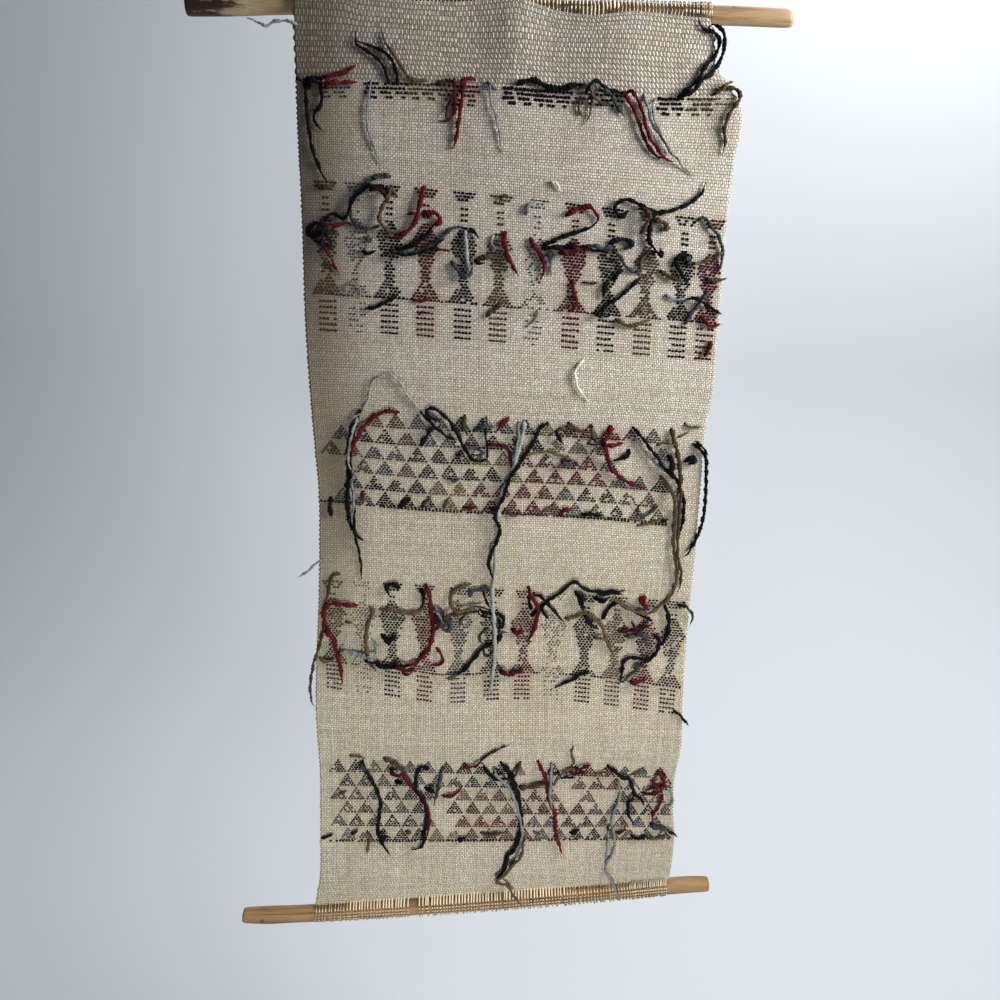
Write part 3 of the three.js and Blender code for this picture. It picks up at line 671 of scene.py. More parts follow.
# band 1, a line with teeth below it: from x, to x, rows, colour, size
BAND_1_CLUSTERS = [
    (-133, -109, 4, "slate", 0.85), (-97, -66, 4, "black", 1.0), (-64, -35, 4, "brown", 1.0),
    (-32, -8, 5, "maroon", 0.95), (11, 40, 4, "black", 1.25), (42, 64, 4, "black", 1.1),
    (66, 80, 3, "brown", 0.9), (84, 106, 3, "black", 0.95), (133, 154, 4, "black", 1.2),
    (157, 176, 4, "brown", 1.1), (178, 191, 2, "olive", 0.85),
]
BAND_1_TOP = 57.5
BAND_1_ROW = 3.4
BAND_1_PITCH = 3.1
for from_x, to_x, row_count, colour, size in BAND_1_CLUSTERS:
    for row in range(row_count):
        tooth = (range(4), range(4), (0, 1, 2))[row] if row < 3 else (1, 2)
        for k in range(int((to_x - from_x) / BAND_1_PITCH) + 1):
            x = from_x + BAND_1_PITCH * (k + 0.5 * (row % 2))
            if k % 4 in tooth and x <= to_x + 1:
                lay_row("band_1_floats", BAND_1_TOP + BAND_1_ROW * row, x, 1, colour, size=size)

BAND_2_COLUMNS = [
    (-130, "brown"), (-105.5, "slate"), (-79, "black"), (-49.5, "maroon"), (-18.5, "black"), (11, "brown"),
    (41, "slate"), (72, "maroon"), (102, "black"), (133, "brown"), (163, "black"), (186, "maroon"),
]


CAP_ROW = 2.6
NECK_DOWN = 12.0         # from the top of the cap
NECK_ROW = 4.4
WAIST_ABOVE_BASE = 18.5
SHOULDER = 12.0          # how far below its top the diamond is widest
LINE_ASIDE = 14.0


def hourglass_band(band, columns, top, neck_rows, body, base, block, full, faint):
    """Each column from above: a cap that narrows, a neck, a diamond, a triangle on a line, and a block."""
    for number, (x, colour) in enumerate(columns):
        size = 0.72 * full if number in faint else full
        missing = 0.35 if number in faint else 0.05
        for row, count in enumerate((6, 5, 4)):
            lay_row(band, top + CAP_ROW * row, x, count, colour, size=size, missing=missing)
        for row in range(neck_rows):
            lay_row(band, top + NECK_DOWN + NECK_ROW * row, x, 2, colour, size=size, missing=missing)
        waist = base - WAIST_ABOVE_BASE
        rows_down = int((base - body) / ROW)
        for row in range(rows_down + 1):
            level = base - row * ROW
            if level > waist:
                count = round(1 + 7 * (level - waist) / (base - waist))
            elif level > body + SHOULDER:
                count = round(1 + 6 * (waist - level) / (waist - body - SHOULDER))
            else:
                count = round(2 + 5 * (level - body) / SHOULDER)
            count += (count + row) % 2
            lay_row(band, level, x, max(1, count), colour, size=size, missing=missing)
        line_colour = "black" if number % 3 else colour
        lay_row(band, base + 0.4, x + LINE_ASIDE, 5, line_colour, size=0.8, missing=0.2)
        for row in range(6):
            lay_row(band, block + BLOCK_ROW * row, x, 5, colour, pitch=3.0, size=size, missing=missing)


BAND_4_COLUMNS = [
    (-131.5, "brown"), (-104, "olive"), (-78, "black"), (-48.5, "maroon"), (-17, "slate"), (14, "black"),
    (42.5, "maroon"), (70, "olive"), (99.5, "black"), (127.5, "brown"), (155.5, "maroon"), (180.5, "black"),
]
hourglass_band("band_2_floats", BAND_2_COLUMNS, 137, 3, 163, 222.5, 228.3, 0.97, faint=(1, 6))
hourglass_band("band_4_floats", BAND_4_COLUMNS, 471, 2, 490, 551.5, 555.6, 0.86, faint=(1, 7))

TRIANGLE_YARNS = ("black", "maroon", "slate", "brown", "black", "olive", "maroon", "black", "slate")
TRIANGLE_LEVELS = 6
TRIANGLE_ROWS = 6
STRIPE_WIDE = 34
STRIPE_SLANT = 0.9
STRIPES_FROM = 900
CLOSING_PITCH = 3.05


def triangle_band(band, first, level_pitch, from_x, to_x, spacing, row_high, blanks, size):
    """Rows of upright triangles, each set half a triangle along from the last, and a closing line."""
    for step in range(TRIANGLE_LEVELS):
        base = first + level_pitch * step
        x = from_x + (spacing / 2 if step % 2 else 0)
        while x <= to_x:
            stripe = int((x - STRIPE_SLANT * base + STRIPES_FROM) // STRIPE_WIDE)
            colour = TRIANGLE_YARNS[(stripe * 5 + step // 2) % len(TRIANGLE_YARNS)]
            if not any(low <= base <= high and left <= x <= right for low, high, left, right in blanks):
                for row in range(TRIANGLE_ROWS):
                    lay_row(band, base - row_high * row, x, TRIANGLE_ROWS - row, colour,
                            pitch=spacing / 6.3, size=size, missing=0.07)
            x += spacing
    x = from_x - spacing / 2
    while x < to_x + spacing / 2:
        lay_row(band, base + 1.6, x, 1, "black" if int(x) % 5 else "maroon", size=0.9, missing=0.1)
        x += CLOSING_PITCH


# where triangles are left out: from level, to level, from x, to x
BAND_3_BLANKS = [(365, 372, -134, -112), (379, 386, -134, -118), (320, 330, -133, -105), (338, 360, 118, 150)]
BAND_5_BLANKS = [(684, 716, -38, -22), (655, 672, 45, 60), (668, 690, 84, 98), (660, 690, 120, 135)]
triangle_band("band_3_floats", 327, 14.1, -130, 165, 18.6, 2.12, BAND_3_BLANKS, 0.88)
triangle_band("band_5_floats", 657, 14.5, -130, 190, 17.2, 2.18, BAND_5_BLANKS, 0.80)

# one dash is a low pad of yarn: rings of its half width and of its height off the cloth
corner = np.arange(DASH_CORNERS) * math.pi / 3
PAD = np.concatenate([
    np.stack([np.cos(corner) * half, np.full(DASH_CORNERS, y), np.sin(corner) * half], axis=1)
    for half, y in ((0.5, DASH_SINK), (0.5, -0.6 * DASH_RISE), (0.34, -DASH_RISE))])
PAD_FACES = [(5, 4, 3, 2, 1, 0), (12, 13, 14, 15, 16, 17), *tube_faces(3, DASH_CORNERS)]
density = np.zeros((2, *MAP_SHAPE))        # all the dyed yarn, and the red of it
for band, marks in dashes.items():
    mark_x = np.array([mark[0] for mark in marks])
    mark_down = down_at([mark[1] for mark in marks], mark_x)
    inside = (mark_x > read(EDGES, 1, mark_down) + 2) & (mark_x < read(EDGES, 2, mark_down) - 2)
    parts = []
    colours = []
    for keep, x, down, (_, _, colour, size) in zip(inside, mark_x, mark_down, marks):
        if not keep:
            continue
        wide_by = DASH_WIDE * size * chart_chance.uniform(0.85, 1.12)
        high_by = DASH_HIGH * size * chart_chance.uniform(0.85, 1.15)
        pad = PAD * (wide_by, 1.0, high_by)
        pad[:, 2] -= pad[:, 0] * 0.05
        parts.append((pad + (x, float(face_y(x, down)), -down), PAD_FACES))
        colours.append(YARN_NAMES.index(colour))
        amount = size * (0.5 if colour in ("slate", "olive") else 1.0)
        density[:, int(down) + MAP_FROM[0], int(x) + MAP_FROM[1]] += (amount, amount * (colour == "maroon"))
    pad_points, pad_faces, owner = gather(parts)
    piece = make_piece(band, pad_points, pad_faces, list(YARNS.values()), [colours[k] for k in owner])

# the same yarn shows softly through the cloth around its floats
blur = bell(np.arange(-9, 10), 3.2)
blur /= blur.sum()
for axis in (1, 2):
    density = np.apply_along_axis(lambda line: np.convolve(line, blur, mode="same"), axis, density)
map_row = (grid_down.ravel() + MAP_FROM[0]).astype(int)
map_column = (grid_x.ravel() + MAP_FROM[1]).astype(int)
for layer_name, amounts in zip(("dark_behind", "red_behind"), density):
    behind = np.zeros(len(cloth_points))
    behind[:back_start] = np.clip(amounts[map_row, map_column] * SHOW_THROUGH, 0, 1)
    cloth.data.attributes.new(layer_name, "FLOAT", "POINT").data.foreach_set("value", behind)

# The loose yarn ends: where a dyed yarn's turn in the brocade is over, its end is left hanging on this
# side, from a short tuft to a strand as long as a hand, mostly two-ply wool with some fuzz.
TAIL_STEP = 1.4
TAIL_TWIST = 6.5
YARN_FILL = 0.47         # radius for each millimetre of thickness
TAIL_LIE = 0.1           # how far a yarn lies off the cloth
TAIL_CLIMB = 0.6         # how steeply it may rise over what lies under it
TAIL_MOST = 11.0         # how far off the cloth other yarn may lift it
HAIR_EVERY = 1.2
HAIR_RADIUS = 0.07
FRAYED = 4
OVER_LOOPS = 11.0        # how far yarn stands off that hangs over the lower stick
LOOPS_ABOVE = 14.0       # how far above the lower stick that begins
LOOPS_FROM_TO = (-170, 205)
# a line for each end, from where it leaves the cloth: colour, thickness, and the places it passes (x, down)
BAND_1_ENDS = [
    ("black", 3.5, (-143, 57), (-143, 66), (-142.5, 79), (-141, 93), (-139, 106), (-135.5, 116),
     (-131, 126), (-127.5, 131)),
    ("black", 3.5, (-131.5, 57), (-130.5, 67), (-132, 75.5), (-136.5, 81), (-137, 86), (-134, 90),
     (-130, 93)),
    ("black", 5, (-145, 60), (-139, 57), (-131, 56.5), (-126, 54)),
    ("black", 4.5, (-141, 62), (-136, 59), (-131, 61)),
    ("maroon", 3.5, (-150, 56), (-146, 59), (-142, 60)),
    ("red", 4, (-127, 61), (-121, 54), (-112, 51), (-105, 46)),
    ("red", 4, (-127, 62), (-116, 59.5), (-103, 57)),
    ("grey", 2.2, (-92.5, 55), (-94.5, 68), (-96, 80), (-95, 91), (-91.5, 101), (-89, 108), (-85.5, 116.5)),
    ("black", 3, (-79, 57), (-80, 52.5), (-83, 46), (-88, 40), (-97, 35), (-103.5, 30), (-104, 22)),
    ("black", 3.5, (-72, 57), (-72.5, 52), (-74.5, 45), (-79, 38), (-88, 33.5), (-97, 31.5), (-103, 30)),
    ("olive", 3.5, (-50, 54), (-62, 53.5), (-68.5, 46), (-74.5, 38), (-80.5, 30), (-84, 21)),
    ("brown", 4.5, (-41, 56), (-34, 53.5), (-28, 55)),
    ("red", 4, (-20, 53), (-21.5, 62), (-23.5, 77), (-25, 88), (-26.5, 97), (-28.5, 101.5), (-31, 102)),
    ("red", 3.5, (-28, 52), (-28, 64), (-27.5, 74), (-30.5, 80), (-36, 83), (-40, 82.5)),
    ("maroon", 2.5, (-27.5, 62), (-32, 70), (-34.5, 77), (-34, 81)),
    ("red", 4, (-13, 51.5), (-20, 53), (-24, 58)),
    ("slate", 3.5, (-3, 53), (1, 57), (5, 59)),
    ("grey", 2, (-1, 54), (1, 69), (5, 78.5), (7.5, 88.5), (10.5, 104)),
    ("black", 5.5, (22, 54), (32, 51.5), (40, 54), (49, 56.5), (59, 55.5), (66, 53.5), (73, 54), (78, 57)),
    ("olive", 2.5, (69, 55), (77, 56), (79.5, 62), (79, 72), (77, 77.5), (73.5, 81.5)),
    ("olive", 2.5, (71, 60), (70, 70), (73, 76)),
    ("brown", 3, (77, 62), (85, 65), (93, 67)),
    ("black", 3.5, (75, 58), (77, 54), (80, 51), (84, 51), (88.5, 54.5), (96.5, 57), (104, 58), (110, 57)),
    ("slate", 4, (85, 56), (95, 61), (100, 68), (106, 73.5)),
    ("red", 3.5, (102, 57), (109.5, 64.5), (115.5, 74), (120, 84), (125.5, 94), (133.5, 102), (142, 104)),
    ("red", 3.5, (108, 56), (116, 63), (121, 73), (123, 82), (127.5, 90.5), (135, 99), (141, 105),
     (147.5, 106)),
    ("grey", 2.6, (120.5, 57), (124, 69), (129, 80), (137, 89), (143, 97), (148, 102.5), (156, 109.5),
     (164, 115.5)),
    ("grey", 2, (131, 60), (127, 67), (131, 79), (139, 91), (144, 98)),
    ("black", 4, (148, 58), (155.5, 52), (163, 45), (166.5, 37.5), (173, 30), (177, 23), (176.5, 16),
     (172.5, 12), (166, 10.5), (161, 7.5), (159, 3.5)),
    ("black", 4, (157, 57), (164.5, 47.5), (172, 41.5), (178.5, 33), (181, 24), (179.5, 14.5),
     (175.5, 9.5), (170.5, 7.5), (166, 10)),
    ("black", 5, (147, 60), (153, 57), (159, 55)),
    ("brown", 3.8, (175, 56), (183.5, 51), (191, 51), (196, 54.5), (195, 60), (189.5, 68.5), (186, 79),
     (187.5, 89), (187, 98.5)),
    ("olive", 3.5, (180, 53), (186, 48), (191, 45)),
]
BAND_2_ENDS = [
    ("brown", 4.5, (-137.5, 133), (-130, 134.5), (-123.5, 133)),
    ("slate", 4.5, (-78, 124.5), (-86, 124), (-94, 129), (-103.5, 137), (-109.5, 145), (-110, 153),
     (-107, 160), (-97.5, 164.5), (-88, 162.5), (-84, 160)),
    ("black", 3.5, (-80, 134), (-94, 133), (-103.5, 140), (-109, 147), (-111.5, 155), (-117, 157.5),
     (-123.5, 154), (-127.5, 155), (-130, 159), (-131, 163)),
    ("maroon", 4, (-94, 135), (-87, 136), (-83, 138), (-82, 142)),
    ("black", 4, (-96, 132), (-90, 134), (-84, 132)),
    ("olive", 4.2, (-73, 139), (-77, 134), (-79, 140), (-84, 148), (-87, 155), (-84, 162), (-77.5, 166),
     (-71, 167), (-65.5, 164.5)),
    ("red", 4.8, (-51, 131.5), (-53, 138), (-55, 146.5), (-56.5, 154), (-60.5, 162), (-66, 167.5),
     (-72.5, 171), (-79, 171)),
    ("red", 3.5, (-57, 151.5), (-61, 152), (-65, 153)),
    ("red", 5, (-53, 152), (-48, 151), (-42.5, 151), (-38, 155), (-39.5, 159), (-44.5, 160)),
    ("black", 5.5, (-74, 180.5), (-66, 178.5), (-58, 174.5), (-51, 169.5), (-45, 164), (-43, 160)),
    ("slate", 4.5, (-77, 182), (-66, 183), (-53, 180), (-43.5, 175.5), (-35.5, 168.5), (-30, 163),
     (-24.5, 161), (-19, 161)),
    ("black", 3, (-75, 183), (-64, 184.5), (-52, 181.5), (-42, 177), (-34, 170)),
    ("black", 4, (-13.5, 161.5), (-9.5, 165), (-7, 169)),
    ("ash", 4.2, (-17.5, 163), (-17, 173), (-16, 182), (-15, 190), (-13, 197)),
    ("slate", 5, (-28, 188), (-24.5, 193), (-18, 199), (-13, 197.5), (-11, 192)),
    ("maroon", 3, (-42, 179.5), (-36, 179.5), (-29.5, 179.5)),
    ("black", 4, (-101, 182), (-96, 183.5), (-90, 181.5)),
    ("slate", 3, (-100, 170), (-95, 174), (-92, 170)),
    ("navy", 4.8, (-146, 171), (-143, 164.5), (-137, 161.5), (-130.5, 163.5), (-133, 169), (-141, 171),
     (-136, 177), (-131, 174)),
    ("navy", 3.8, (-131, 167), (-126, 176), (-128, 180), (-133, 179), (-132, 172)),
    ("black", 4.5, (-145, 169), (-139, 173), (-132, 170), (-129, 164)),
    ("maroon", 3.5, (-111.5, 160.5), (-120, 163), (-127, 165), (-130, 161)),
    ("brown", 3.2, (-122, 167), (-128, 165), (-131, 170)),
    ("red", 2.6, (-131, 179), (-127, 186), (-124, 193), (-120.5, 201)),
    ("grey", 1.8, (-116, 214), (-114, 208), (-107, 207), (-103, 212), (-104, 219)),
    ("black", 4.2, (-74, 217), (-82, 221.5), (-90, 225.5), (-99, 227)),
    ("red", 3.5, (-60, 219), (-53, 219.5), (-46, 217.5)),
    ("black", 2.2, (-55, 231), (-52, 228), (-49, 228.5)),
    ("brown", 3.5, (15.5, 135.5), (11, 136.5), (9.5, 141)),
    ("ash", 2.8, (6, 165.5), (3.5, 171), (7, 175.5), (14, 177), (20, 182), (23.5, 189), (25.5, 195)),
    ("red", 5, (15, 164), (14, 171), (15.5, 176.5), (18, 184), (22, 190.5), (26.5, 197.5)),
    ("brown", 5, (-9, 186), (-3, 184), (5.5, 182.5)),
    ("black", 4, (-9, 187), (-4, 189), (-1, 188)),
    ("brown", 4.5, (13.5, 219.5), (6.5, 226), (0.5, 231)),
    ("cream", 4, (50, 125), (55, 125.5), (58, 131)),
    ("grey", 4, (31, 149), (33, 143), (38, 140.5)),
    ("red", 5, (64, 149), (72, 144.5), (80.5, 142), (86, 145), (90, 150), (88, 154)),
    ("black", 4.5, (46.5, 172.5), (52.5, 170), (62, 165.5), (72.5, 162), (83.5, 158), (88, 154)),
    ("black", 5, (46, 175), (57, 174.5), (67, 173), (77, 173.5), (88, 175.5), (96, 176)),
    ("red", 5, (60, 178.5), (68, 177.5), (77, 175.5), (86, 174.5)),
    ("slate", 4, (80, 172), (91, 173.5), (102, 174), (108, 178)),
    ("navy", 5, (100.5, 169), (106, 166.5), (113, 166.5), (119, 169), (118, 172), (112, 173.5)),
    ("slate", 3.6, (103, 174), (110, 181), (115, 187.5), (121, 191), (127, 192.5)),
    ("olive", 3.6, (134, 174), (129, 180), (127, 186), (126.5, 192)),
    ("black", 4, (114, 144), (110, 148.5), (105, 147), (103, 142), (106, 137.5), (113.5, 136),
     (121, 138.5), (130, 142.5), (138, 144.5), (146.5, 143.5), (157, 140), (166, 135), (172, 129.5),
     (175.5, 121)),
    ("black", 5, (133, 145), (133, 152), (132, 160), (133, 167), (137, 173), (143, 177)),
    ("black", 4.5, (137, 175), (143, 178), (141, 173)),
    ("brown", 4.5, (123, 142), (130, 147), (128, 155), (124, 162)),
    ("olive", 5, (137, 150), (144, 153), (147, 157), (141, 158.5)),
    ("slate", 3.6, (172, 149), (177, 147.5), (182.5, 154), (190, 162.5), (194, 173), (194, 182),
     (192, 189)),
    ("black", 4.2, (165, 183), (168, 179), (164, 176.5), (158.5, 178), (155.5, 182), (158, 187),
     (163, 193.5), (167, 199.5)),
    ("slate", 4.5, (162, 179), (167, 181), (164, 185)),
    ("olive", 3, (168, 183.5), (178.5, 182), (186.5, 177.5), (194, 174)),
    ("brown", 4, (183, 194), (189, 196.5), (199.5, 194)),
    ("brown", 5, (145, 190), (152, 194.5), (159, 197)),
    ("black", 5.5, (111.5, 190.5), (107, 195), (105, 199)),
    ("black", 4.5, (100, 199), (98.5, 206), (97, 213)),
    ("black", 4, (128, 196), (119.5, 204), (112, 211), (104, 216.5), (99, 221), (98, 225), (101, 228),
     (106, 226)),
    ("black", 4, (92, 226), (96, 227.5), (99, 226)),
    ("red", 3.6, (71, 200), (73.5, 210), (75.5, 217.5), (72.5, 225.5)),
    ("maroon", 2.6, (80, 200.5), (86, 201.5), (93, 200.5)),
    ("red", 4.5, (35.5, 167.5), (39, 174), (43.5, 180.5), (47.5, 188), (47, 195), (45, 200)),
    ("grey", 3.5, (55, 180), (53, 188), (54, 196)),
    ("slate", 4, (52, 177), (51.5, 182), (52, 187)),
    ("grey", 2, (44, 224), (42, 232), (34, 238)),
    ("olive", 4.2, (110, 230), (120, 234.5), (130, 232.5), (138, 229)),
    ("slate", 3.8, (186, 205), (179.5, 213), (173, 223), (167.5, 232.5)),
    ("grey", 3, (150, 209), (158.5, 212.5), (167, 211.5)),
    ("black", 3.4, (167, 212), (174.5, 211), (182, 214.5), (190.5, 219), (198, 223)),
    ("red", 4, (181, 225.5), (185.5, 230), (191, 233), (198, 231)),
    ("maroon", 5, (191.5, 246.5), (189, 253), (186.5, 259)),
]
BAND_3_ENDS = [
    ("ash", 3, (-103, 313), (-97, 300), (-94, 288), (-87, 282), (-77, 281), (-70, 287), (-65, 296),
     (-55, 307.5), (-48, 314.5)),
    ("black", 5, (-104.5, 312), (-109, 321), (-112.5, 331), (-114.5, 343), (-115, 357), (-115, 371),
     (-116.5, 389), (-115.5, 405), (-112, 416), (-107.5, 423), (-103, 426.5)),
    ("black", 2.8, (-108, 325), (-112, 345), (-112, 370), (-111, 389), (-110.5, 407), (-110, 421.5),
     (-107.5, 436), (-105.5, 451), (-105.5, 463)),
    ("ash", 3, (-106, 316), (-110.5, 331), (-113, 343), (-114, 355), (-111.5, 362)),
    ("grey", 3, (-111, 368), (-110.5, 390), (-112, 405)),
    ("grey", 2.6, (-104, 314), (-110.5, 317), (-115, 321)),
    ("red", 4.5, (-71.5, 312), (-78.5, 311), (-87, 313), (-95.5, 319), (-102.5, 327), (-107.5, 336.5),
     (-110, 343), (-111, 350)),
    ("black", 3, (-53, 311), (-46.5, 318), (-38, 326), (-29.5, 332.5), (-19, 335)),
    ("black", 4, (-38, 317.5), (-46, 314.5), (-48, 310), (-44, 307.5), (-37, 310.5), (-30, 316.5),
     (-24, 325), (-19, 334), (-13.5, 344.5), (-8, 351), (-1, 353.5), (4, 350)),
    ("black", 2.6, (1, 320), (3, 331), (5, 342), (4, 352)),
    ("black", 4.5, (-42, 323), (-48.5, 332.5), (-53, 342)),
    ("brown", 5, (-15, 313.5), (-16, 321.5), (-13, 330)),
    ("slate", 5, (-7, 326), (-2, 323.5), (3, 321.5), (9, 322.5)),
    ("slate", 4, (3.5, 314.5), (4, 320)),
    ("slate", 3, (-15.5, 340), (-7, 341.5), (2, 344)),
    ("slate", 3, (-8, 347), (-1, 346), (3, 344)),
    ("black", 3, (-22.5, 348), (-17, 346)),
    ("red", 4.6, (22, 314.5), (16.5, 320), (12, 325.5)),
    ("maroon", 4, (6, 338), (19, 339), (24, 345), (25.5, 352), (26.5, 358)),
    ("slate", 2.6, (-28.5, 369), (-23.5, 371), (-18, 368.5)),
    ("red", 4, (-103, 382.5), (-103.5, 391.5)),
    ("black", 5, (-131, 388.5), (-131.5, 397), (-131, 405.5)),
    ("black", 5, (-71.5, 396), (-67, 391), (-61, 386.5)),
    ("brown", 3.2, (-51, 394), (-47, 389.5), (-43.5, 385)),
    ("olive", 4.5, (-32.5, 395), (-30, 390.5), (-28, 386.5)),
    ("maroon", 4.5, (-15, 394), (-9, 394.5), (-3, 393)),
    ("black", 4, (8, 395), (13, 395.5)),
    ("ash", 4.6, (36, 317), (34.5, 330), (31, 344), (28.5, 355), (24.5, 365), (21, 374), (17.5, 383),
     (16, 392), (15.5, 403), (14.5, 414), (14, 428), (14.5, 446), (13.5, 460), (12.5, 468),
     (13.5, 488.5), (15.5, 509), (16, 536), (14.5, 556), (14, 571)),
    ("grey", 3, (31, 318), (31, 330), (29.5, 342), (27, 352)),
    ("black", 4.2, (57, 318), (50, 321.5), (46, 331), (41, 340.5), (36, 348.5), (31.5, 355.5),
     (27, 362), (23.5, 369), (21.5, 378), (18.5, 386), (14.5, 393), (12.5, 401), (16, 408), (17.5, 415),
     (15.5, 421), (12.5, 428), (10, 435.5), (8.5, 445), (10, 451.5), (13.5, 459)),
    ("brown", 3, (21, 394.5), (29, 400.5), (36, 398)),
    ("olive", 3, (38, 346), (48, 343), (57.5, 343), (65, 345), (76.5, 349), (83, 352)),
    ("slate", 5, (69, 351), (74, 354), (78, 352)),
    ("slate", 4, (81, 353), (86, 355)),
    ("olive", 4, (72, 322), (66, 323.5), (63.5, 327)),
    ("black", 4, (63, 325), (66, 330.5), (71, 336.5)),
    ("brown", 4.5, (74, 317.5), (82, 323.5), (90, 325)),
    ("olive", 5, (93.5, 319), (95, 325), (97, 331)),
    ("slate", 4, (96, 331), (101, 334), (105, 331)),
    ("red", 5.5, (110.5, 320), (109, 327), (103.5, 332.5)),
    ("red", 5, (102, 334), (112, 335), (121.5, 333.5)),
    ("maroon", 4, (92, 335.5), (99, 334)),
    ("red", 4.6, (104, 333), (108, 343), (110.5, 351.5), (115.5, 359), (124, 365.5), (134, 370.5),
     (145, 373)),
    ("black", 5, (128, 340), (127.5, 344.5), (121.5, 347), (114, 348)),
    ("grey", 3.5, (133, 327), (134.5, 331), (142.5, 341), (151.5, 350.5), (160, 357), (170, 362),
     (176, 368)),
    ("black", 4, (130, 320), (137, 327), (143.5, 335), (150, 342.5), (157, 352), (163.5, 359),
     (170.5, 364), (175, 372), (178.5, 380), (180, 390), (180, 403), (178, 417)),
    ("brown", 5, (164, 321), (167, 332.5), (171, 343.5), (173, 355.5), (173.5, 367), (172, 380)),
    ("olive", 3.6, (157, 362), (165, 372), (170, 383), (172.5, 397), (172.5, 410), (173, 424),
     (175, 434), (178, 447.5), (178.5, 458), (176.5, 468.5), (172, 477), (164.5, 484), (158.5, 488),
     (151, 489.5), (143, 487), (134.5, 483.5), (126, 478), (120, 472.5)),
    ("brown", 3.2, (173, 367), (175, 383), (176, 400), (176, 420), (177.5, 435), (182, 450), (183, 460),
     (180, 468)),
    ("black", 6, (163, 345), (166, 350), (164, 357), (168, 361)),
    ("black", 6, (178, 349), (183, 345), (186, 349), (181, 351)),
    ("olive", 3, (170.5, 328), (175, 325), (179, 322.5)),
    ("olive", 3, (175.5, 315), (177, 317.5), (182, 318.5), (190, 318)),
    ("olive", 2.6, (152, 335), (160, 332.5), (168, 334)),
    ("black", 4, (183.5, 333), (188.5, 336.5), (193, 340.5), (196, 346.5), (197, 357), (198, 373),
     (198.5, 389.5), (197.5, 402.5), (195, 413.5), (191, 424), (186, 431.5), (181.5, 433)),
    ("black", 2.8, (186, 331), (192, 336), (196, 342)),
    ("olive", 3.5, (55, 397), (61, 392.5), (67.5, 390)),
    ("red", 4.5, (70.5, 398), (75, 393.5), (81, 395)),
    ("black", 4.5, (90, 398.5), (98, 397.5), (107, 399)),
    ("slate", 3.6, (140, 390), (139, 396), (145.5, 398), (153.5, 392.5), (156.5, 389)),
    ("olive", 2.6, (140, 407), (149, 405.5), (157, 402.5)),
    ("black", 4.5, (162, 403), (167, 401)),
]
